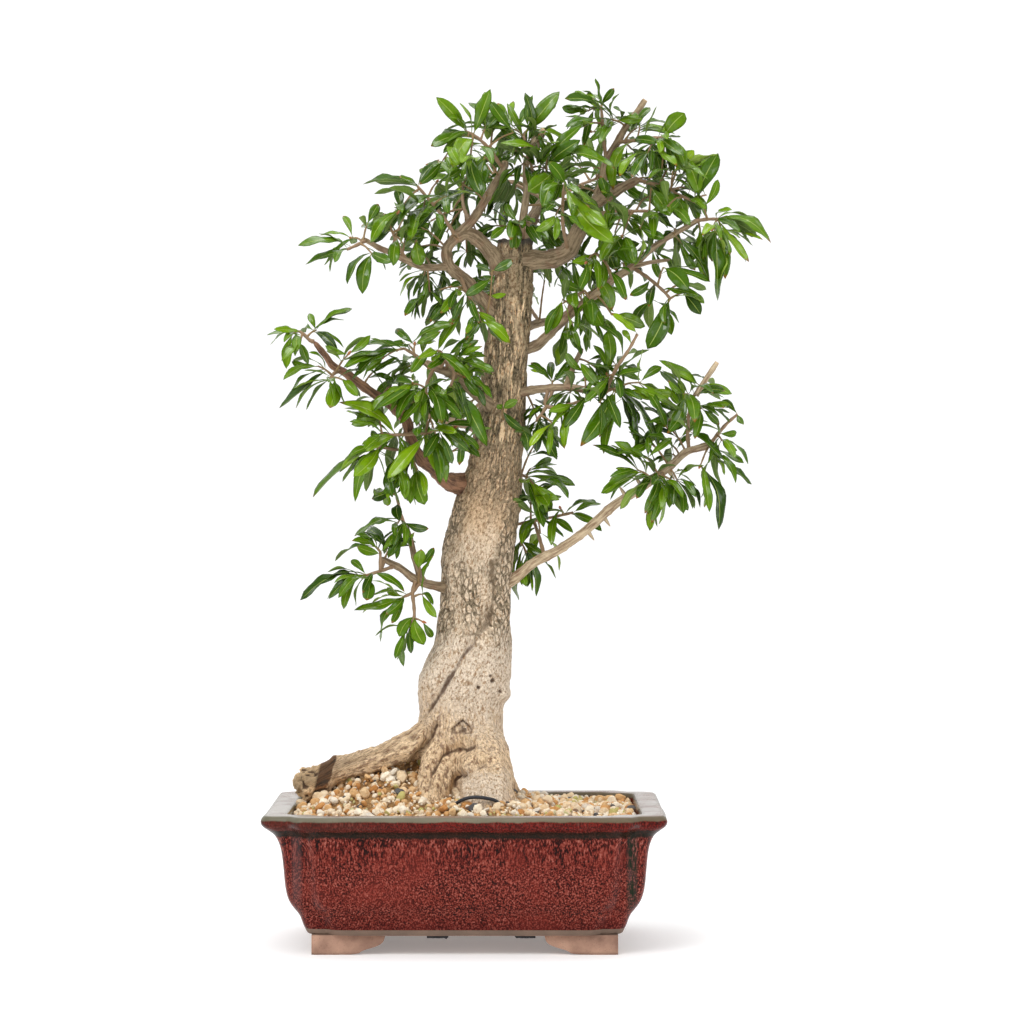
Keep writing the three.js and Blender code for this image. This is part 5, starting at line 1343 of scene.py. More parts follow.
def limb_finish():
    """Branch bark: grey-brown to pale tan, with lighter streaks along it and pale cut ends."""
    paint = Paint("branch_bark")
    grain = paint.attribute("grain", "Vector")
    pale = paint.attribute("pale")
    fine = paint.noise(grain, 1300.0, 4.0, 0.7)
    streaks = paint.noise(grain, 620.0, 4.0, 0.65, squeeze=0.14)
    blotch = paint.noise(grain, 120.0, 3.0, 0.6)
    streaked = streaks.rise(0.35, 0.62)
    colour = paint.coats(
        paint.two_tone(streaks, 0.35, 0.65, (104, 86, 62), (164, 142, 112)),
        (pale.rise(0.0, 1.0), paint.mix(streaked, (136, 110, 82), (202, 182, 150))),
        ((pale * -1.0).rise(0.0, 1.0), paint.mix(streaked, (78, 50, 34), (146, 104, 76))),
        (blotch.rise(0.52, 0.7) * 0.45, (138, 98, 76)),
        (fine.rise(0.62, 0.72) * 0.45, (74, 56, 44)),
        (paint.attribute("cut"), paint.mix(fine, (196, 150, 96), (224, 190, 142))),
    )
    relief = paint.bump(fine + streaks * 1.4, 0.00035, 0.7)
    return paint.finish(Base_Color=colour, Roughness=0.75, Normal=relief)


def twig_finish():
    """Young shoots: reddish where they are newest, tan where they are older."""
    paint = Paint("twig_bark")
    young = paint.attribute("tone")
    streaks = paint.noise(paint.attribute("blade", "Vector"), 900.0, 3.0, 0.6, squeeze=0.2)
    colour = paint.coats(
        paint.mix(streaks, (120, 90, 68), (170, 142, 112)),
        (young, paint.mix(streaks, (120, 86, 52), (150, 128, 70))),
        (young.rise(0.93, 1.0), (168, 104, 62)),
    )
    return paint.finish(Base_Color=colour, Roughness=0.6, Normal=paint.bump(streaks, 0.0002, 0.6))


def leaf_pattern(paint):
    """What both faces of a leaf share: place across and along it, midrib and side veins."""
    blade = paint.attribute("blade", "Vector")
    across = abs(paint.axis(blade, 0))
    along = paint.axis(blade, 1)
    midrib = across.fall(0.02, 0.085) * (1 - along * 0.5)
    slant = (along - across * 0.16) * 72.0
    veins = slant.sine().rise(0.55, 1.0) * across.fall(0.8, 1.0)
    return across, along, midrib, veins


def leaf_finish():
    """The glossy upper face of a leaf."""
    paint = Paint("leaf_upper")
    across, along, midrib, veins = leaf_pattern(paint)
    spot = paint.spot()
    mottle = paint.noise(spot, 160.0, 3.0, 0.55)
    colour = paint.ramp(
        paint.attribute("tone"), (0.0, (38, 64, 3)), (0.35, bpy.context.scene.bonsai.leaf_colour),
        (0.65, (101, 136, 7)), (0.86, (126, 160, 14)), (1.0, (160, 188, 34)),
    )
    colour = paint.coats(
        colour,
        (mottle.rise(0.4, 0.75) * 0.35, (42, 70, 4)),
        (veins * 0.05, (126, 160, 84)),
        (midrib * 0.85, (178, 194, 96)),
        (across.rise(0.9, 1.0) * 0.35, (140, 160, 66)),
        (along.rise(0.9, 0.985) * paint.noise(spot, 22.0, 0.0).rise(0.56, 0.64) * 0.85, (150, 88, 40)),
        (along.fall(0.05, 0.13) * 0.85, (172, 160, 78)),
    )
    relief = paint.bump(mottle * 0.6 - midrib * 1.6 - veins * 0.25, 0.00022, 0.8)
    gloss = paint.noise(spot, 75.0, 2.0, 0.5).rise(0.44, 0.62)
    return paint.finish(
        Base_Color=colour, Roughness=0.18 + mottle * 0.18, Normal=relief, Specular_IOR_Level=0.12,
        Coat_Weight=gloss, Coat_Roughness=0.08,
    )


def leaf_under_finish():
    """The duller, paler underside of a leaf, with its raised midrib."""
    paint = Paint("leaf_underside")
    _, _, midrib, veins = leaf_pattern(paint)
    mottle = paint.noise(paint.spot(), 240.0)
    colour = paint.ramp(
        paint.attribute("tone"), (0.0, (76, 100, 36)), (0.6, (106, 134, 40)), (1.0, (150, 178, 54))
    )
    colour = paint.coats(
        colour,
        (mottle * 0.3, (80, 102, 54)),
        (veins * 0.10, (140, 162, 104)),
        (midrib * 0.85, (180, 192, 116)),
    )
    relief = paint.bump(midrib * 1.8 + veins * 0.8 + mottle * 0.3, 0.00025, 0.8)
    return paint.finish(Base_Color=colour, Roughness=0.62, Normal=relief)


def plastic_finish(name, scale, dusty, share, colour, dust_colour, gloss, strength):
    """Dark plastic with dust lying on it in patches."""
    paint = Paint(name)
    dust = paint.noise(paint.spot(), scale, 4.0, 0.7)
    colour = paint.mix(dust.rise(*dusty) * share, colour, dust_colour)
    relief = paint.bump(dust, 0.0002, strength)
    return paint.finish(Base_Color=colour, Roughness=gloss + dust * 0.3, Normal=relief)


def sleeve_finish():
    """The wire's black plastic sleeve."""
    return plastic_finish("wire_sleeve", 500.0, (0.55, 0.75), 0.5, (30, 32, 38), (96, 92, 88), 0.42, 0.6)


def screen_finish():
    """The drain screens' dark plastic strands."""
    return plastic_finish("screen_plastic", 300.0, (0.5, 0.8), 0.6, (26, 28, 26), (104, 84, 60), 0.38, 0.5)


def floor_finish():
    """A plain pale studio floor."""
    paint = Paint("studio_floor")
    colour = paint.mix(paint.noise(paint.spot(), 40.0) * 0.1, (240, 240, 240), (232, 232, 232))
    return paint.finish(
        Base_Color=colour, Roughness=0.9, Emission_Color=shade(255, 255, 255), Emission_Strength=0.2
    )


FINISHES = {
    "glaze": glaze_finish, "clay": clay_finish, "gravel": gravel_finish, "soil": soil_finish,
    "trunk": trunk_finish, "limb": limb_finish, "twig": twig_finish, "leaf": leaf_finish,
    "leaf_under": leaf_under_finish, "sleeve": sleeve_finish, "screen": screen_finish, "floor": floor_finish,
}
MADE_FINISHES = {}


def finish_named(name):
    """A material, made the first time it is asked for."""
    if name not in MADE_FINISHES:
        MADE_FINISHES[name] = FINISHES[name]()
    return MADE_FINISHES[name]


# ---- The pot ----

def pot_ring(inset, height):
    """One ring of the pot's plan, inset from its widest outline."""
    width = POT_HALF_WIDTH - inset
    depth = POT_HALF_DEPTH - inset
    setback = LOBE_SETBACK - 0.12 * inset
    notch = width - (LOBE_WIDTH - 0.1 * inset)
    share = np.linspace(0, 1, 13)
    slope = rise(share ** 1.5, 0, 1)
    turn = np.linspace(-math.pi / 2, 0, 11)
    corner = (width - LOBE_RADIUS, -depth + setback + LOBE_RADIUS)
    straight = notch - GROOVE_REACH
    quarter = np.vstack([
        np.stack([np.linspace(0, straight, 15), np.full(15, -depth)], axis=1)[:-1],
        np.stack([straight + GROOVE_RUN * share, -depth + setback * slope], axis=1),
        np.stack([corner[0] + LOBE_RADIUS * np.cos(turn), corner[1] + LOBE_RADIUS * np.sin(turn)], axis=1),
        np.stack([np.full(9, width), np.linspace(corner[1], 0, 10)[1:]], axis=1),
    ])
    right = np.vstack([quarter, quarter[-2::-1] * (1, -1)])
    ring = np.vstack([right, right[-2:0:-1] * (-1, 1)])
    return np.column_stack([ring, np.full(len(ring), height)])


def pot_body():
    """The pot's walls and floor, with the holes not yet cut."""
    outside = eased(POT_OUTSIDE, 3)
    inside = eased(POT_INSIDE, 2)
    lip = eased([outside[-1], *LIP_CROWN, inside[0]], 2)
    levels = np.vstack([outside, lip[1:-1], inside])
    rings = []
    for height, inset in levels:
        ring = pot_ring(inset, height)
        outward = ring[:, :2] / np.linalg.norm(ring[:, :2], axis=1)[:, None]
        sway = noise(ring, 46, 3) * 0.45 * float(rise(height, 22, 40))
        ring[:, :2] += outward * sway[:, None]
        rings.append(ring)
    points, fans, quads = loft(rings)
    shape = Shape()
    shape.add(points, fans, quads)
    mesh = shape.mesh("pot_body")
    count = len(rings[0])
    heights = np.repeat(levels[:-1, 0], count)
    band = np.repeat(np.arange(len(levels) - 1), count)
    glazed = (heights >= UNGLAZED_BELOW) & (band < len(outside) + len(lip) + 1)
    finishes = np.ones(len(mesh.polygons), np.int32)
    finishes[len(fans):] = np.where(glazed, 0, 1)
    mesh.polygons.foreach_set("material_index", finishes)
    return mesh


def foot_arm(reach_scale, sign_x, sign_y, turned):
    """One arm of a corner foot as a block with an ogee end."""
    profile = eased([(reach * reach_scale, height) for reach, height in FOOT_PROFILE[2:]], 2)
    profile = np.vstack([FOOT_PROFILE[:2], profile])
    corner = np.array([POT_HALF_WIDTH - FOOT_INSET, POT_HALF_DEPTH - FOOT_INSET - 2])
    reach, height = profile.T
    sheets = []
    for depth in (0 * reach, 0 * reach + FOOT_BAND):
        in_x, in_y = (depth, reach) if turned else (reach, depth)
        sheet = np.column_stack([sign_x * (corner[0] - in_x), sign_y * (corner[1] - in_y), height])
        sheets.append((sheet + POT_CENTRE) * MM)
    form = bmesh.new()
    rows = [[form.verts.new(tuple(point)) for point in sheet] for sheet in sheets]
    form.faces.new(rows[0])
    form.faces.new(rows[1][::-1])
    for i in range(len(profile)):
        j = (i + 1) % len(profile)
        form.faces.new([rows[0][j], rows[0][i], rows[1][i], rows[1][j]])
    bmesh.ops.recalc_face_normals(form, faces=form.faces)
    mesh = bpy.data.meshes.new("foot_arm")
    form.to_mesh(mesh)
    form.free()
    return mesh


def foot(sign_x, sign_y):
    """A corner foot: two arms made one, with its edges rounded."""
    arm = put("foot_arm", foot_arm(1.0, sign_x, sign_y, False))
    side_arm = put("foot_arm", foot_arm(FOOT_SIDE_SHARE, sign_x, sign_y, True))
    modify(arm, "BOOLEAN", operation="UNION", solver="EXACT", object=side_arm)
    sharpest = math.radians(35)
    modify(arm, "BEVEL", width=FOOT_BEVEL * MM, segments=3, limit_method="ANGLE", angle_limit=sharpest)
    mesh = applied(arm)
    bpy.data.objects.remove(side_arm)
    return mesh


def cut_hole(piece, x, y, radius):
    """Take a round hole through the pot's floor."""
    angles = np.linspace(0, 2 * math.pi, 48, endpoint=False)
    ring = np.column_stack([x + radius * np.cos(angles), y + radius * np.sin(angles), np.zeros(48)])
    shape = Shape()
    shape.add(*loft([ring + (0, 0, FLOOR_UNDER - 6), ring + (0, 0, FLOOR_TOP + 6)]))
    drill = put("drill", shape.mesh("drill"))
    modify(piece, "BOOLEAN", operation="DIFFERENCE", solver="EXACT", object=drill)
    return drill


def build_pot(settings):
    """The glazed pot with its feet, drain holes and wire holes."""
    mesh = pot_body()
    body = put("pot_blank", mesh)
    for finish in ("glaze", "clay"):
        mesh.materials.append(finish_named(finish))
    drills = [cut_hole(body, *hole) for hole in DRAIN_HOLES + WIRE_HOLES]
    mesh = applied(body)
    for drill in drills:
        bpy.data.objects.remove(drill)
    form = bmesh.new()
    form.from_mesh(mesh)
    for sign_x in (-1, 1):
        for sign_y in (-1, 1):
            before = len(form.faces)
            form.from_mesh(foot(sign_x, sign_y))
            form.faces.ensure_lookup_table()
            for face in form.faces[before:]:
                face.material_index = 1
    form.to_mesh(mesh)
    form.free()
    place("glazed_pot", mesh, ["glaze", "clay"], "glazed_ceramic", ["pot"])
    mesh.set_sharp_from_angle(angle=math.radians(42))


def build_screens(settings):
    """Woven plastic screens that lie over the two drain holes."""
    half = SCREEN_SIZE / 2
    places = np.linspace(-half + SCREEN_STRAND, half - SCREEN_STRAND, 12)
    pitch = places[1] - places[0]
    run = np.linspace(-half, half, 45)
    for name, (x, _, _) in zip(("left", "right"), DRAIN_HOLES):
        shape = Shape()
        for number, offset in enumerate(places):
            lift = 0.42 * np.cos(math.pi * (run - places[0]) / pitch) * (1 if number % 2 else -1)
            heights = SCREEN_CENTRE_Z + lift
            for line in (
                np.column_stack([x + run, np.full(45, offset), heights]),
                np.column_stack([np.full(45, x + offset), run, 2 * SCREEN_CENTRE_Z - heights]),
            ):
                shape.add_tube(line, np.full(45, SCREEN_STRAND), 6)
        mesh = shape.mesh(f"screen_{name}")
        place(f"drain_mesh_{name}", mesh, ["screen"], "screen_mesh", [f"drain_screen_{name}"])


def build_wire(settings):
    """The tie-down wire in its black sleeve."""
    line = smooth_line(TIE_WIRE_ROUTE, 1.0)
    ribs = 1 + 0.03 * np.sin(np.arange(len(line)) * 1.9)
    shape = Shape()
    shape.add_tube(line, TIE_WIRE_RADIUS * ribs, 14)
    place("tie_wire", shape.mesh("tie_wire"), ["sleeve"], "wire_sleeve", ["tie_down_wire"])


# ---- The trunk ----

def grabbed(rows, field):
    """A vector of each row of a mesh's data, as an array."""
    values = np.zeros(len(rows) * 3, np.float32)
    rows.foreach_get(field, values)
    return values.reshape(-1, 3).astype(float)


def trunk_blank(voxel):
    """The CAD trunk and the torn stub, made one even mesh."""
    form = bmesh.new()
    form.from_mesh(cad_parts["trunk"].data)
    stub_line = smooth_line(DEAD_STUB, 2.0)
    shape = Shape()
    shape.add_tube(stub_line[:, :3], stub_line[:, 3], 28)
    form.from_mesh(shape.mesh("stub"))
    source = bpy.data.meshes.new("trunk_blank")
    form.to_mesh(source)
    form.free()
    blank = put("trunk_blank", source)
    modify(blank, "REMESH", mode="VOXEL", voxel_size=voxel, use_smooth_shade=True)
    modify(blank, "SMOOTH", factor=0.5, iterations=12)
    return applied(blank)


def trunk_grain(points):
    """For each point, its place round and along the wood: up the trunk, or along the root at the left."""
    x, y, z = points.T
    line = np.array(TRUNK_LINE, float)
    centre_x = np.interp(z, line[:, 0], line[:, 1])
    centre_y = np.interp(z, line[:, 0], line[:, 2])
    upright = np.column_stack([x - centre_x, y - centre_y, z])
    root = np.array(LEFT_ROOT_LINE, float)[::-1]
    root_y = np.interp(x, root[:, 0], root[:, 1])
    root_z = np.interp(x, root[:, 0], root[:, 2])
    along = ROOT_BEND[1] + 1.1 * (x - ROOT_BEND[0])
    lying = np.column_stack([root_z - z, y - root_y, along])
    edge = np.interp(z, ROOT_EDGE_Z, ROOT_EDGE_X)
    share = fall(x - edge, -6, 5)
    share *= fall(z - ROOT_BEND[1] - 0.5 * (x - ROOT_BEND[0]), -9, 9)
    return lying * share[:, None] + upright * (1 - share[:, None]), share


def fold_depth(points, normals):
    """How deep each point of the trunk lies in a fold, how much painted shade darkens it there, and how it
    swells beside it.
    """
    depth = np.zeros(len(points))
    dark = np.zeros(len(points))
    swell = np.zeros(len(points))
    flat = points * (1, 0, 1)
    for line, deep, half_width, front in TRUNK_FOLDS:
        line = smooth_line([(x, 0, z) for x, z in line], 2.0)
        away = np.full(len(points), 99.0)
        share = np.zeros(len(points))
        for i, (start, end) in enumerate(zip(line, line[1:])):
            run = end - start
            t = np.clip(((flat - start) @ run) / np.dot(run, run), 0, 1)
            near = np.linalg.norm(flat - start - t[:, None] * run, axis=1)
            share = np.where(near < away, (i + t) / (len(line) - 1), share)
            away = np.minimum(away, near)
        ends = rise(share, 0, 0.12) * (1 - rise(share, 0.9, 1.0) * 0.6)
        strength = ends * rise(-normals[:, 1] * front, -0.1, 0.35)
        away = np.abs(away + 0.9 * noise(points, 5, 71)) + 0.35 * noise(points, 2, 72)
        patchy_shade = 0.55 + 0.45 * rise(noise(points, 9, 73) + 0.4 * noise(points, 3, 74), -0.5, 0.4)
        depth = np.maximum(depth, deep * hill(away, half_width) * strength)
        # Painted shade along the fold's core, patchy along its length.
        dark = np.maximum(dark, hill(np.maximum(away, 0), 0.45 * half_width) * strength * patchy_shade)
        beside = hill(away - 2.6 * half_width, 1.3 * half_width)
        swell = np.maximum(swell, 0.45 * deep * beside * strength)
    return depth, dark, swell


def bark(points, grain, on_root):
    """How far the bark stands out, how dark it is in its cracks, pits and root grooves (partly its own
    colour, partly painted shade), and the number of the plate a point is in.
    """
    warped = grain + 2.2 * noise_vectors(points, 9, 13)
    height = points[:, 2] + 10 * noise(points, 26, 11)
    low = fall(height, 182, 222)
    top = rise(height, 322, 350)
    middle = np.clip(1 - low - top, 0, 1)
    lift = 1.3 * layered(grain * (1, 1, 0.5), 20, 21) + 0.6 * layered(grain * (1, 1, 0.4), 7, 25)
    lift += (1 - low) * 0.9 * noise(grain * (1, 1, 0.22), 8, 29)
    edge, own = cells(warped * (1, 1, 0.42), BARK_CELL_SIZE, 31)
    gap = fall(edge, 0.02, 0.26) * rise(own + 0.5 * noise(points, 8, 38), 0.05, 0.6)
    gap *= 0.35 + 0.65 * rise(layered(points, 34, 37), -0.25, 0.35)
    lift += middle * ((own - 0.5) * 1.1 - gap * 1.3 + 0.35 * noise(warped * (1, 1, 0.5), 2.4, 39))
    strips, strip_own = cells(warped * (1, 1, 0.20), BARK_STRIP_SIZE, 41)
    strip_gap = fall(strips, 0.04, 0.34)
    lift += top * ((strip_own - 0.5) * 1.1 - strip_gap * 1.0 + 0.3 * noise(warped * (1, 1, 0.3), 2.0, 43))
    lift += low * (0.26 * noise(grain, 2.2, 51) + 0.18 * noise(grain, 1.3, 53))
    pits = rise(noise(grain * (1, 1, 2.2), 3.2, 57), 0.55, 0.8)
    lift -= low * pits * 0.45
    ridges = rise(noise(warped * (1, 1, 0.14), 3.4, 59), 0.0, 0.6)
    lift -= on_root * 0.9 * ridges
    crack = middle * gap * 0.35 + top * strip_gap * 0.35 + low * pits * 0.3 + on_root * ridges * 0.4
    return lift, crack, np.where(top > 0.5, strip_own, own)


def tear_stub(points, near_soil, lift, crack):
    """Torn wood on the stub beyond the left root's cut, with painted shade between its fibres, and a swollen
    collar before it.
    """
    slanted = points[:, 0] - (points[:, 2] - 110) * STUB_SLANT
    stub = fall(slanted, -105, -101) * near_soil
    coarse = noise(points, 5, 61)
    fibres = noise(points * (0.6, 1, 1), 2.2, 62)
    lift += stub * (2.4 * coarse + 1.9 * fibres - 0.3)
    lift += 1.8 * hill(slanted + 94, 3.0) * near_soil
    # Painted shade in the hollows between the torn fibres.
    np.maximum(crack, stub * rise(-fibres - 0.4 * coarse, 0.0, 0.7), out=crack)


def carve_knot(points, front, lift, crack):
    """The knot on the trunk's front: a small gabled hollow with a raised rim, darkened with painted shade in
    the hollow and the groove at its edge.
    """
    knot_x = points[:, 0] - KNOT[0] + 0.6 * noise(points, 4, 65)
    knot_z = points[:, 2] - KNOT[1] + 0.6 * noise(points, 4, 66)
    roof = knot_z + 0.85 * np.abs(knot_x)
    from_knot = np.maximum(np.maximum(roof - 4.6, -knot_z - 4.6), np.abs(knot_x) - 6.6)
    rim = hill(from_knot, 1.0) * (0.7 + 0.3 * rise(knot_z, -2, 2))
    inside = fall(from_knot, -1.5, 0)
    flaky = rise(noise(points, 2.0, 67), -0.1, 0.4)
    lift += front * (1.2 * hill(from_knot - 2.2, 1.8) - 1.8 * rim - 0.8 * inside)
    lift += front * inside * 1.6 * noise(points, 2.2, 66)
    # Painted shade in the knot's hollow and in the groove at its edge.
    np.maximum(crack, front * np.maximum(rim, inside * flaky * 0.75), out=crack)


def carve_holes(points, normals, front, lift, crack):
    """Small holes in the front with painted shade in them, the bump at the right, and the creased dome at the
    foot with painted shade in its creases.
    """
    x, _, z = points.T
    for hole_x, hole_z, radius in HOLES:
        from_hole = np.hypot(x - hole_x, z - hole_z) + 0.4 * noise(points, 2, 68)
        lift -= front * 1.6 * radius * hill(from_hole, radius)
        lift += front * 0.5 * hill(from_hole - radius * 2, radius)
        # Painted shade inside each hole.
        np.maximum(crack, front * np.exp(-np.maximum(from_hole / radius, 0) ** 3), out=crack)
    from_bump = np.hypot(x - BUMP[0], z - BUMP[1])
    lift += rise(-normals[:, 1], -0.6, 0.0) * 3.2 * hill(from_bump, 5.5)
    dome = np.hypot((x - 18) / 1.1, z - 96)
    rings = 0.5 + 0.5 * np.sin(dome * 1.25 + 1.5 * noise(points, 12, 69))
    on_dome = rise(-points[:, 1], 34, 44) * fall(dome, 20, 30)
    lift -= on_dome * rings * 0.5
    # Painted shade in the dome's creases.
    np.maximum(crack, on_dome * rise(rings, 0.86, 1.0) * 0.32, out=crack)


def build_trunk(settings):
    """The trunk and its surface roots, remeshed from the CAD shape and given folds, scars and bark."""
    mesh = trunk_blank(settings.bark_voxel)
    points = grabbed(mesh.vertices, "co") / MM - POT_CENTRE
    normals = grabbed(mesh.vertex_normals, "vector")
    near_soil = fall(points[:, 2], 124, 132)
    grain, on_root = trunk_grain(points)
    lift, crack, plate = bark(points, grain, on_root)
    tear_stub(points, near_soil, lift, crack)
    fold, dark, swell = fold_depth(points, normals)
    lift += swell - fold
    # The folds' painted shade goes in with the cracks.
    np.maximum(crack, dark, out=crack)
    front = rise(-normals[:, 1], 0.0, 0.4)
    carve_knot(points, front, lift, crack)
    carve_holes(points, normals, front, lift, crack)
    above_ground = rise(points[:, 2], 72, 88)
    points += normals * (lift * above_ground)[:, None]
    points[:, 0] -= np.minimum(points[:, 0] + 110, 0) * near_soil * 0.25
    mesh.vertices.foreach_set("co", ((points + POT_CENTRE) * MM).astype(np.float32).ravel())
    write_attribute(mesh, "crack", crack)
    write_attribute(mesh, "plate", plate)
    write_attribute(mesh, "grain", grain * MM)
    place("barked_trunk", mesh, ["trunk"], "trunk_bark", ["trunk"])


# ---- The soil ----

def heaped(x, y, height, heaps):
    """A surface's height at places in the pot, with heaps on it."""
    for heap_x, heap_y, added, reach_x, reach_y in heaps:
        height = height + added * np.exp(-(((x - heap_x) / reach_x) ** 2) - ((y - heap_y) / reach_y) ** 2)
    return height


def soil_height(x, y):
    """The height of the granules' bed, heaped against the trunk and over the wire's ends."""
    return heaped(x, y, SOIL_EDGE_HEIGHT + 0 * x, SOIL_HEAPS) + heaped(x, y, 0 * x, GRANULE_HEAPS)


def soil_bed(shape):
    """The bed under the granules, closed down to the pot's floor."""
    rings = [pot_ring(39.2, FLOOR_TOP + 1.2), pot_ring(26, 42), pot_ring(SOIL_INSET, 70)]
    edge = pot_ring(SOIL_INSET, 0)
    for share in np.linspace(1, 0.02, 60):
        ring = edge * (share, share, 1)
        ring[:, 2] = soil_height(ring[:, 0], ring[:, 1]) - 1.0
        ring[:, 2] += 0.9 * layered(ring, 7, 61)
        rings.append(ring)
    shape.add(*loft(rings), finish=1, grain=0.3)


def grain_shapes(count, rng, detail):
    """A set of small stones, each a ball with flat faces knocked off it."""
    form = bmesh.new()
    bmesh.ops.create_icosphere(form, subdivisions=detail, radius=1.0)
    form.verts.ensure_lookup_table()
    ball = np.array([vert.co for vert in form.verts])
    faces = np.array([[vert.index for vert in face.verts] for face in form.faces])
    form.free()
    stones = []
    for _ in range(count):
        stone = ball.copy()
        for _ in range(9):
            way = unit(rng.normal(size=3))
            over = np.maximum(stone @ way - rng.uniform(0.62, 0.86), 0)
            stone -= over[:, None] * way
        stones.append(stone * (1, rng.uniform(0.7, 0.95), rng.uniform(0.55, 0.85)))
    return np.array(stones), faces


def turned_rows(count, rng):
    """Random turns as a stack of matrices."""
    q = rng.normal(size=(count, 4))
    w, x, y, z = (q / np.linalg.norm(q, axis=1)[:, None]).T
    rows = [
        [1 - 2 * (y * y + z * z), 2 * (x * y - w * z), 2 * (x * z + w * y)],
        [2 * (x * y + w * z), 1 - 2 * (x * x + z * z), 2 * (y * z - w * x)],
        [2 * (x * z - w * y), 2 * (y * z + w * x), 1 - 2 * (x * x + y * y)],
    ]
    return np.array(rows).transpose(2, 0, 1)


def inside_wall(x, y, reach):
    """Whether a place is inside the pot's wall by more than a reach."""
    half_width = POT_HALF_WIDTH - SOIL_INSET + 2.5 - reach
    half_depth = POT_HALF_DEPTH - SOIL_INSET + 2.5 - reach
    in_box = (np.abs(x) < half_width) & (np.abs(y) < half_depth)
    in_lobe = (np.abs(x) > half_width - 19) & (np.abs(y) > half_depth - 8)
    return in_box & ~in_lobe


def scatter_grains(shape, count, low, high, detail, seed, wood):
    """Granules over the bed, kept out of the wood."""
    rng = np.random.default_rng(seed)
    stones, faces = grain_shapes(30, rng, detail)
    x = rng.uniform(-POT_HALF_WIDTH, POT_HALF_WIDTH, count)
    y = rng.uniform(-POT_HALF_DEPTH, POT_HALF_DEPTH, count)
    size = low + (high - low) * rng.random(count) ** 2.0
    z = soil_height(x, y) + rng.uniform(-0.3, 0.35, count) * size
    tone = rng.random(count)
    kept = inside_wall(x, y, size / 2)
    turns = turned_rows(count, rng)
    picks = rng.integers(0, len(stones), count)
    places = np.column_stack([x, y, z])
    for i in np.flatnonzero(kept):
        spot = Vector(tuple((places[i] + POT_CENTRE) * MM))
        near, normal, _, _ = wood.find_nearest(spot)
        kept[i] = (spot - near).dot(normal) >= -GRAIN_IN_WOOD
    kept = np.flatnonzero(kept)
    where = places[kept]
    points = np.einsum("nij,nkj->nki", turns[kept], stones[picks[kept]])
    points = points * (size[kept] / 2)[:, None, None] + where[:, None]
    offsets = (np.arange(len(kept)) * points.shape[1])[:, None, None]
    triangles = (faces[None] + offsets).reshape(-1, 3)
    tones = np.clip(tone[kept] + 0.12 * noise(where, 22, 81), 0.05, 1.0)
    tones = np.where(tone[kept] < DARK_GRAINS, tone[kept], tones)
    shape.add(points.reshape(-1, 3), triangles, grain=np.repeat(tones, points.shape[1]))


def build_soil(settings):
    """The soil bed and the granules on it."""
    trunk = bpy.data.objects["barked_trunk"].data
    faces = [tuple(face.vertices) for face in trunk.polygons]
    wood = BVHTree.FromPolygons([vert.co for vert in trunk.vertices], faces)
    shape = Shape()
    soil_bed(shape)
    scatter_grains(shape, settings.large_grains, 5.0, 9.6, 2, 101, wood)
    scatter_grains(shape, settings.small_grains, 2.4, 5.0, 1, 103, wood)
    mesh = shape.mesh("granular_soil")
    place("granular_soil", mesh, ["gravel", "soil"], "soil_granules", ["soil"], smooth=False)


# ---- The branches ----

def add_limb(shape, rows, seed, pale, cut_end):
    """One run of branch, with a collar where it leaves the wood, knuckles and a rough skin."""
    line = smooth_line(rows, 1.3)
    path = line[:, :3].copy()
    steps = steps_along(path)
    path += 0.35 * noise_vectors(path, 11, seed)
    radii = line[:, 3] * LIMB_SLIM * (1 + 0.11 * np.exp(-(((steps + seed * 3.1) % 13.5) - 6.7) ** 2 / 3.0))
    radii = radii * (1 + 0.07 * noise(path, 9, seed + 5))
    sides = 14 if rows[0][3] > 4.2 else 11
    skin = tube(path, radii, sides)[3][:len(path) * sides]
    rough = 1 + 0.09 * noise(skin * (1, 1, 0.25) + seed * 17, 2.2, seed)
    rough = rough + 0.05 * noise(skin + seed, 1.1, seed + 9)
    radii = radii[:, None] * rough.reshape(len(path), sides)
    if cut_end:
        radii[-1] *= 0.86
    else:
        radii[-1] *= 0.45
        radii[-2] *= 0.8
    points, fans, quads, where = tube(path, radii, sides)
    cut = np.zeros(len(points))
    if cut_end:
        cut[-sides - 2:-2] = 0.35
        cut[-1] = 1.0
    shape.add(points, fans, quads, grain=(where + (0, 0, seed * 37)) * MM, pale=pale, cut=cut)


def add_thorn(shape, x, z, side, rows, pale):
    """A short blunt spur on a branch."""
    line = smooth_line(rows, 1.5)[:, :3]
    near = line[np.argmin(np.hypot(line[:, 0] - x, line[:, 2] - z))]
    path = near + unit(np.array([-0.55, -0.2, 0.8]) * side) * np.linspace(0, 9.5, 7)[:, None]
    shape.add_tube(path, (1.6, 1.5, 1.4, 1.2, 1.0, 0.7, 0.25), 8, "grain", pale=pale, cut=0)


def build_branches(settings):
    """The thirteen branches, one piece each."""
    for number, (name, lines) in enumerate(BRANCHES.items()):
        shape = Shape()
        pale = PALE_LIMBS.get(name, GREY_LIMB)
        for i, rows in enumerate(lines):
            add_limb(shape, rows, 7 + number * 5 + i, pale, name in CUT_ENDS)
        if name in STUBS:
            add_limb(shape, STUBS[name], 91 + number, 0.8, True)
        for x, z, side in THORNS.get(name, []):
            add_thorn(shape, x, z, side, lines[0], pale)
        place(f"limb_{name}", shape.mesh(f"limb_{name}"), ["limb"], "branch_bark", [f"branch_{name}"])


# ---- The leaves ----

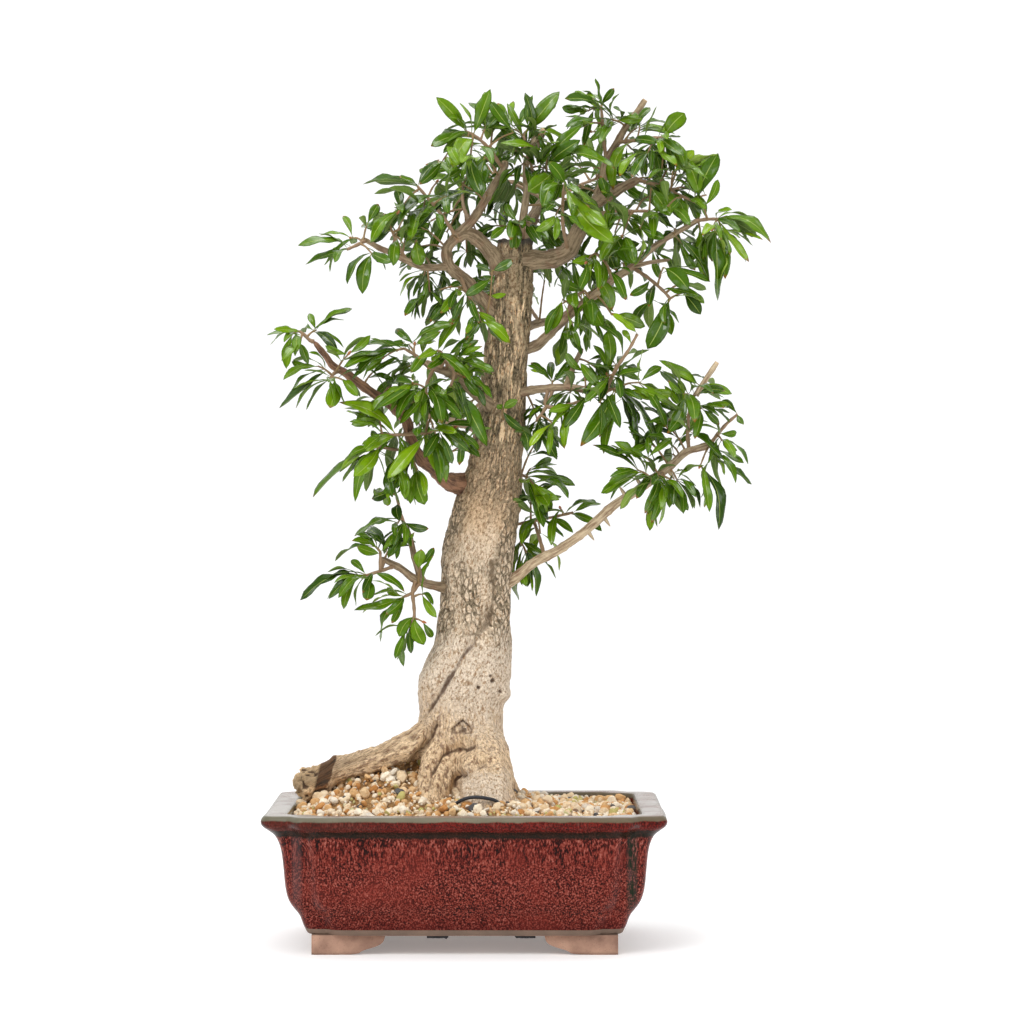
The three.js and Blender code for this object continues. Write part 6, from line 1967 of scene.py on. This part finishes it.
def blade_grid():
    """The faces of one closed leaf: an upper and an under face that share their rim."""
    across, along = LEAF_ACROSS + 1, LEAF_ALONG + 1
    upper = np.arange(across * along).reshape(along, across)
    under = upper.copy()
    inner = np.arange((across - 2) * (along - 2)).reshape(along - 2, across - 2)
    under[1:-1, 1:-1] = across * along + inner
    top = np.stack([upper[:-1, :-1], upper[:-1, 1:], upper[1:, 1:], upper[1:, :-1]], axis=-1).reshape(-1, 4)
    low = np.stack([under[:-1, :-1], under[1:, :-1], under[1:, 1:], under[:-1, 1:]], axis=-1).reshape(-1, 4)
    return top, low


BLADE_TOP, BLADE_UNDER = blade_grid()


def blade_outline(share, taper, bluntness):
    """Half a leaf's width along it, from 0 to 1: its base tapers, its tip is blunter, its stalk narrow."""
    t = np.clip((share - PETIOLE_END) / (1 - PETIOLE_END), 0, 1)
    widest = taper / (taper + bluntness)
    body = (t / widest) ** taper * ((1 - t) / (1 - widest)) ** bluntness
    return np.maximum(body, 0.05 + 0.03 * (1 - share))


def add_leaf(shape, base, tip, width, normal, rng, tone):
    """One leaf: a thin closed blade that folds along its midrib, arches, waves at its edges and twists."""
    run = tip - base
    length = np.linalg.norm(run)
    along = run / length
    normal = unit(normal - along * np.dot(normal, along))
    side = np.cross(along, normal)
    share = np.linspace(0, 1, LEAF_ALONG + 1)[:, None]
    across = np.linspace(-1, 1, LEAF_ACROSS + 1)[None]
    arch = rng.uniform(0.05, 0.18) * length
    sweep = rng.uniform(-0.10, 0.10) * length
    half = width / 2 * blade_outline(share, rng.uniform(0.85, 1.35), rng.uniform(0.55, 0.85))
    fold = rng.uniform(0.08, 0.42)
    twist = rng.uniform(-0.5, 0.5)
    waves = rng.uniform(1.2, 2.6)
    phases = rng.uniform(0, 2 * math.pi, 2)
    swing = rng.uniform(0.06, 0.20) * width
    turn = twist * (share - 0.5) * 2
    bow = arch * np.sin(math.pi * share ** 0.9)
    centre = base + share * run + side * sweep * np.sin(math.pi * share) + normal * bow
    sides = side * np.cos(turn) + normal * np.sin(turn)
    ups = normal * np.cos(turn) - side * np.sin(turn)
    phase = np.where(across < 0, phases[0], phases[1])
    ripple = swing * np.sin(2 * math.pi * waves * share + phase) * across ** 2 * np.sin(math.pi * share)
    lift = np.abs(across) ** 1.2 * half * math.sin(fold) + ripple
    reach = across * half * math.cos(fold * 0.8)
    upper = centre[:, None] + sides[:, None] * reach[..., None] + ups[:, None] * lift[..., None]
    rib = 0.5 + 0.5 * (1 - np.abs(across)) ** 3
    thick = LEAF_THICKNESS * rib * np.sqrt(np.clip(1 - across ** 2, 0, 1)) + 0 * share
    under = (upper - ups[:, None] * thick[..., None])[1:-1, 1:-1]
    stamp = np.stack(np.broadcast_arrays(across, share, 0 * half), axis=-1)
    points = np.vstack([upper.reshape(-1, 3), under.reshape(-1, 3)])
    stamps = np.vstack([stamp.reshape(-1, 3), stamp[1:-1, 1:-1].reshape(-1, 3)])
    start = shape.total
    shape.add(points, quads=BLADE_TOP, blade=stamps, tone=tone)
    shape.add_faces(4, BLADE_UNDER, start, 1)


def add_twig(shape, line, thick, thin, tone):
    """A slender shoot along a line."""
    path = smooth_line(line, 2.2)
    count = len(path)
    radii = np.linspace(thick, thin, count) * (1 + 0.12 * np.sin(np.arange(count) * 1.7))
    shape.add_tube(path, radii, 7, "blade", 2, tone=tone)


def add_bud(shape, spot, way):
    """A small red bud at a shoot's tip."""
    path = spot + way * np.linspace(-0.5, 3.4, 6)[:, None]
    shape.add_tube(path, (0.5, 0.95, 1.05, 0.9, 0.55, 0.12), 7, "blade", 2, tone=1)


def turn_of(a, b, c):
    """Above 0 where the way from a by b to c turns left."""
    return (b[0] - a[0]) * (c[1] - a[1]) - (b[1] - a[1]) * (c[0] - a[0])


def hull_of(points):
    """The corners of the hull round a set of points, anticlockwise."""
    points = sorted(set(map(tuple, points)))
    halves = []
    for row in (points, points[::-1]):
        half = []
        for point in row:
            while len(half) > 1 and turn_of(half[-2], half[-1], point) <= 0:
                half.pop()
            half.append(point)
        halves.append(half[:-1])
    return np.array(halves[0] + halves[1])


def inside_hull(hull, point):
    """Whether a point is inside a hull, or outside it by no more than a little room."""
    for a, b in zip(hull, np.roll(hull, -1, axis=0)):
        edge = b - a
        if turn_of(a, b, point) / max(np.hypot(*edge), 1e-9) < -HULL_ROOM:
            return False
    return True


def leaf_rows(rows):
    """The base, tip and width of each listed leaf."""
    return [(np.array(row[:3], float), np.array(row[3:6], float), row[6]) for row in rows]


def lay_leaf(shape, base, tip, seen, rng):
    """One leaf at a listed place, turned so that it shows its listed width to the front."""
    width = max(seen, np.linalg.norm(tip - base) * LEAF_LEAST_SHARE)
    along = unit(tip - base)
    facing = np.array([0.0, 1.0 if base[1] > BACK_LEAVES_FROM else -1.0, 0.0])
    facing = unit(facing - along * np.dot(facing, along))
    upper = np.cross(along, facing)
    if upper[2] < 0:
        upper = -upper
    roll = math.acos(min(1, seen / width))
    normal = facing * math.cos(roll) + upper * math.sin(roll)
    tone = float(np.clip(rng.normal(*LISTED_TONES), 0, 1))
    add_leaf(shape, base, tip, width, normal, rng, tone)


def whorl(shape, spot, way, count, kind, hull, rng):
    """A ring of leaves round a shoot, leaning the way it grows; none goes beyond the spray's own outline."""
    lengths, tones = SMALL_LEAVES[kind]
    across = unit(np.cross(way, (0.3, 0.9, 0.2)))
    third = np.cross(way, across)
    turn = rng.uniform(0, 2 * math.pi)
    for i in range(count):
        for _ in range(LEAF_TRIES):
            angle = turn + 2 * math.pi * i / count + rng.uniform(-0.4, 0.4)
            lean = rng.uniform(0.35, 1.15)
            outward = across * math.cos(angle) + third * math.sin(angle)
            droop = np.array([0, 0, rng.uniform(-0.45, 0.1)])
            heading = way * math.cos(lean) + outward * math.sin(lean) + droop
            heading = unit(heading * (1, 0.65, 1))
            length = rng.uniform(*lengths)
            tip = spot + heading * length
            if tip[1] < BACK_LIMIT and inside_hull(hull, (tip[0], tip[2])):
                break
        else:
            continue
        normal = np.array([0, 0, 1.0]) + 0.7 * outward + rng.normal(0, 0.25, 3) + np.array([0, -0.35, 0])
        normal = unit(normal)
        if abs(np.dot(normal, heading)) > 0.95:
            continue
        tone = float(np.clip(rng.normal(*tones), 0, 1))
        add_leaf(shape, spot, tip, length * rng.uniform(0.18, 0.27), normal, rng, tone)


def side_shoot(wood, tip):
    """A slightly arched shoot from the nearest wood to a tip, as three points."""
    tip = np.array(tip, float)
    start, away = nearest_on(wood, tip)
    return np.array([start, (start + tip) / 2 + (0, 0, 0.08 * away), tip])


def build_spray(name, spray, number, fill):
    """One leafy spray: its twigs, its listed leaves, and smaller leaves that fill it."""
    rng = np.random.default_rng(500 + number)
    shape = Shape()
    stem_rows, shoot_tips, listed = spray
    stems = [np.array(stem, float) for stem in stem_rows]
    twigs = [smooth_line(stem, 3.0)[1:] for stem in stems]
    limbs = [np.array(rows, float)[:, :3] for lines in BRANCHES.values() for rows in lines]
    for stem in stems:
        joint, away = nearest_on(limbs, stem[0])
        add_twig(shape, np.vstack([joint, stem]) if away > 1.5 else stem, 1.5, 1.0, 0.15)
    wood = limbs + twigs
    shoots = [side_shoot(twigs, tip) for tip in shoot_tips]
    bushy = [side_shoot(wood, tip) for tip in EXTRA_SHOOTS.get(name, [])]
    for line in shoots + bushy:
        add_twig(shape, line, 0.85, 0.55, 0.6)
    network = twigs + [smooth_line(line, 3.0) for line in shoots]
    outline = [(point[0], point[2]) for line in network for point in line]
    for base, tip, seen in leaf_rows(listed):
        outline += [(base[0], base[2]), (tip[0], tip[2])]
        root, _ = nearest_on(network, base)
        lay_leaf(shape, root, tip, seen * LISTED_WIDTH_SHARE, rng)
    hull = hull_of(outline)
    ring, inner = (fill - 2, 1) if name.startswith(THIN_SPRAYS) else (fill, 3)
    for line in shoots:
        way = unit(line[-1] - line[0])
        if rng.random() < 0.3:
            add_bud(shape, line[-1], way)
        whorl(shape, line[-1] - way, way, ring, "shoot tip", hull, rng)
        whorl(shape, line[1], way, inner, "shoot", hull, rng)
    for stem in stems:
        way = unit(stem[-1] - stem[-2])
        whorl(shape, stem[-1] - way * 0.8, way, ring, "stem tip", hull, rng)
        for a, b in zip(stem[1:], stem[2:]):
            whorl(shape, (a + b) / 2, unit(b - a), inner, "stem", hull, rng)
    for line in bushy:
        way = unit(line[-1] - line[0])
        around = hull_of([(line[-1][0] + x, line[-1][2] + z) for x in (-16, 16) for z in (-18, 12)])
        whorl(shape, line[-1] - way, way, fill + 3, "bush tip", around, rng)
        whorl(shape, line[1], way, 3, "bush", around, rng)
    for base, tip, width in leaf_rows(LONE_LEAVES.get(name, [])):
        start, away = nearest_on(wood, base)
        add_twig(shape, np.array([start, (start + base) / 2 + (0, 0, 0.06 * away), base]), 0.8, 0.5, 0.7)
        lay_leaf(shape, base, tip, width, rng)
    for line, rows in TRUNK_SHOOTS.get(name, []):
        add_twig(shape, np.array(line, float), 0.9, 0.5, 0.8)
        for base, tip, width in leaf_rows(rows):
            lay_leaf(shape, base, tip, width, rng)
    mesh = shape.mesh(f"leaves_{name}")
    place(f"leaves_{name}", mesh, ["leaf", "leaf_under", "twig"], "foliage", [f"spray_{name}"])


def build_foliage(settings):
    """All the leafy sprays, one piece each."""
    for number, (name, spray) in enumerate(SPRAYS.items()):
        build_spray(name, spray, number, settings.tip_leaves)


# ---- The stage ----

def build_stage(settings):
    """The pale floor, the soft lights and the camera."""
    turn = np.linspace(-math.pi / 2, 0, 14)[1:]
    sweep = [(2.2 + 1.2 * math.cos(angle), 1.2 + 1.2 * math.sin(angle)) for angle in turn]
    profile = [(-6, 0), (2.2, 0), *sweep, (3.4, 5.0)]
    mesh = bpy.data.meshes.new("studio_floor")
    points = [(x, y, z) for y, z in profile for x in (-6, 6)]
    faces = [(2 * i, 2 * i + 1, 2 * i + 3, 2 * i + 2) for i in range(len(profile) - 1)]
    mesh.from_pydata(points, [], faces)
    mesh.materials.append(finish_named("floor"))
    mesh.polygons.foreach_set("use_smooth", np.full(len(faces), True))
    floor = put("studio_floor", mesh)
    add_light("key", (-1.1, -1.7, 2.1), 1.6, settings.key_power)
    add_light("fill", (1.9, -1.5, 1.2), 1.8, settings.fill_power)
    add_light("above", (0.0, 0.2, 2.4), 1.8, settings.top_power)
    world = bpy.data.worlds.new("studio")
    world.use_nodes = True
    background = world.node_tree.nodes["Background"]
    background.inputs[0].default_value = (1, 1, 1, 1)
    background.inputs[1].default_value = settings.room_light
    bpy.context.scene.world = world
    bpy.context.scene.view_settings.view_transform = "Standard"
    lens = bpy.data.cameras.new("camera")
    lens.lens = CAMERA_LENS
    lens.sensor_width = 36
    lens.clip_end = 60
    camera = put("camera", lens)
    camera.location = (POT_CENTRE + (CAMERA_X, CAMERA_Y, CAMERA_Z)) * MM
    camera.rotation_euler = (math.radians(90 - CAMERA_PITCH), 0, 0)
    bpy.context.scene.camera = camera


def add_light(name, spot, size, power):
    """A large soft lamp that points at the middle of the tree."""
    lamp = bpy.data.lights.new(name, "AREA")
    lamp.size = size
    lamp.energy = power
    holder = put(name, lamp)
    holder.location = spot
    way = Vector((0, 0, 0.28)) - Vector(spot)
    holder.rotation_euler = way.to_track_quat("-Z", "Y").to_euler()


# ---- The add-on ----

class BonsaiSettings(bpy.types.PropertyGroup):
    """Sizes, counts, colours and lights that change how the tree is made."""

    bark_voxel: bpy.props.FloatProperty(
        name="Bark detail", description="Edge length of the trunk's mesh", default=0.00108, unit="LENGTH"
    )
    large_grains: bpy.props.IntProperty(
        name="Large granules", description="How many large granules are tried", default=2300
    )
    small_grains: bpy.props.IntProperty(
        name="Small granules", description="How many small granules are tried", default=5200
    )
    tip_leaves: bpy.props.IntProperty(
        name="Leaves per tip", description="How many small leaves ring each shoot's tip", default=5
    )
    glaze_colour: bpy.props.FloatVectorProperty(
        name="Glaze", description="The glaze's main red", subtype="COLOR", size=4,
        default=shade(103, 31, 23),
    )
    leaf_colour: bpy.props.FloatVectorProperty(
        name="Leaves", description="The leaves' main green", subtype="COLOR", size=4,
        default=shade(67, 102, 4),
    )
    key_power: bpy.props.FloatProperty(
        name="Key light", description="Power of the main lamp", default=42.0, unit="POWER"
    )
    fill_power: bpy.props.FloatProperty(
        name="Fill light", description="Power of the lamp at the right", default=18.0, unit="POWER"
    )
    top_power: bpy.props.FloatProperty(
        name="Top light", description="Power of the lamp above", default=26.0, unit="POWER"
    )
    room_light: bpy.props.FloatProperty(
        name="Room light", description="Strength of the light from all round", default=0.62
    )


class BonsaiPiece:
    """What every operator here does: build its pieces from the scene's settings."""

    bl_options = {"REGISTER", "UNDO"}

    def execute(self, context):
        self.build(context.scene.bonsai)
        return {"FINISHED"}


class BONSAI_OT_pot(BonsaiPiece, bpy.types.Operator):
    """Build the glazed pot with its feet and floor holes"""
    bl_idname = "bonsai.pot"
    bl_label = "Glazed pot"
    build = staticmethod(build_pot)


class BONSAI_OT_screens(BonsaiPiece, bpy.types.Operator):
    """Build the woven screens over the drain holes"""
    bl_idname = "bonsai.screens"
    bl_label = "Drain screens"
    build = staticmethod(build_screens)


class BONSAI_OT_trunk(BonsaiPiece, bpy.types.Operator):
    """Build the trunk and its surface roots"""
    bl_idname = "bonsai.trunk"
    bl_label = "Trunk"
    build = staticmethod(build_trunk)


class BONSAI_OT_soil(BonsaiPiece, bpy.types.Operator):
    """Build the soil and its granules round the trunk"""
    bl_idname = "bonsai.soil"
    bl_label = "Granular soil"
    build = staticmethod(build_soil)


class BONSAI_OT_branches(BonsaiPiece, bpy.types.Operator):
    """Build the branches"""
    bl_idname = "bonsai.branches"
    bl_label = "Branches"
    build = staticmethod(build_branches)


class BONSAI_OT_foliage(BonsaiPiece, bpy.types.Operator):
    """Build the leafy sprays"""
    bl_idname = "bonsai.foliage"
    bl_label = "Foliage"
    build = staticmethod(build_foliage)


class BONSAI_OT_wire(BonsaiPiece, bpy.types.Operator):
    """Build the tie-down wire"""
    bl_idname = "bonsai.wire"
    bl_label = "Tie-down wire"
    build = staticmethod(build_wire)


class BONSAI_OT_stage(BonsaiPiece, bpy.types.Operator):
    """Set up the floor, the lights and the camera"""
    bl_idname = "bonsai.stage"
    bl_label = "Stage"
    build = staticmethod(build_stage)


OPERATORS = (
    BONSAI_OT_stage, BONSAI_OT_pot, BONSAI_OT_screens, BONSAI_OT_trunk, BONSAI_OT_soil, BONSAI_OT_wire,
    BONSAI_OT_branches, BONSAI_OT_foliage,
)


class BONSAI_PT_panel(bpy.types.Panel):
    """The bonsai's pieces and settings"""
    bl_idname = "BONSAI_PT_panel"
    bl_label = "Pomegranate bonsai"
    bl_space_type = "VIEW_3D"
    bl_region_type = "UI"
    bl_category = "Bonsai"

    def draw(self, context):
        for name in BonsaiSettings.__annotations__:
            self.layout.prop(context.scene.bonsai, name)
        for operator in OPERATORS:
            self.layout.operator(operator.bl_idname)


CLASSES = (BonsaiSettings, *OPERATORS, BONSAI_PT_panel)


def register():
    for entry in CLASSES:
        bpy.utils.register_class(entry)
    bpy.types.Scene.bonsai = bpy.props.PointerProperty(type=BonsaiSettings)


def unregister():
    del bpy.types.Scene.bonsai
    for entry in reversed(CLASSES):
        bpy.utils.unregister_class(entry)


def main():
    """Build every piece in order."""
    register()
    for operator in OPERATORS:
        group, action = operator.bl_idname.split(".")
        getattr(getattr(bpy.ops, group), action)()


if __name__ == "__main__":
    main()
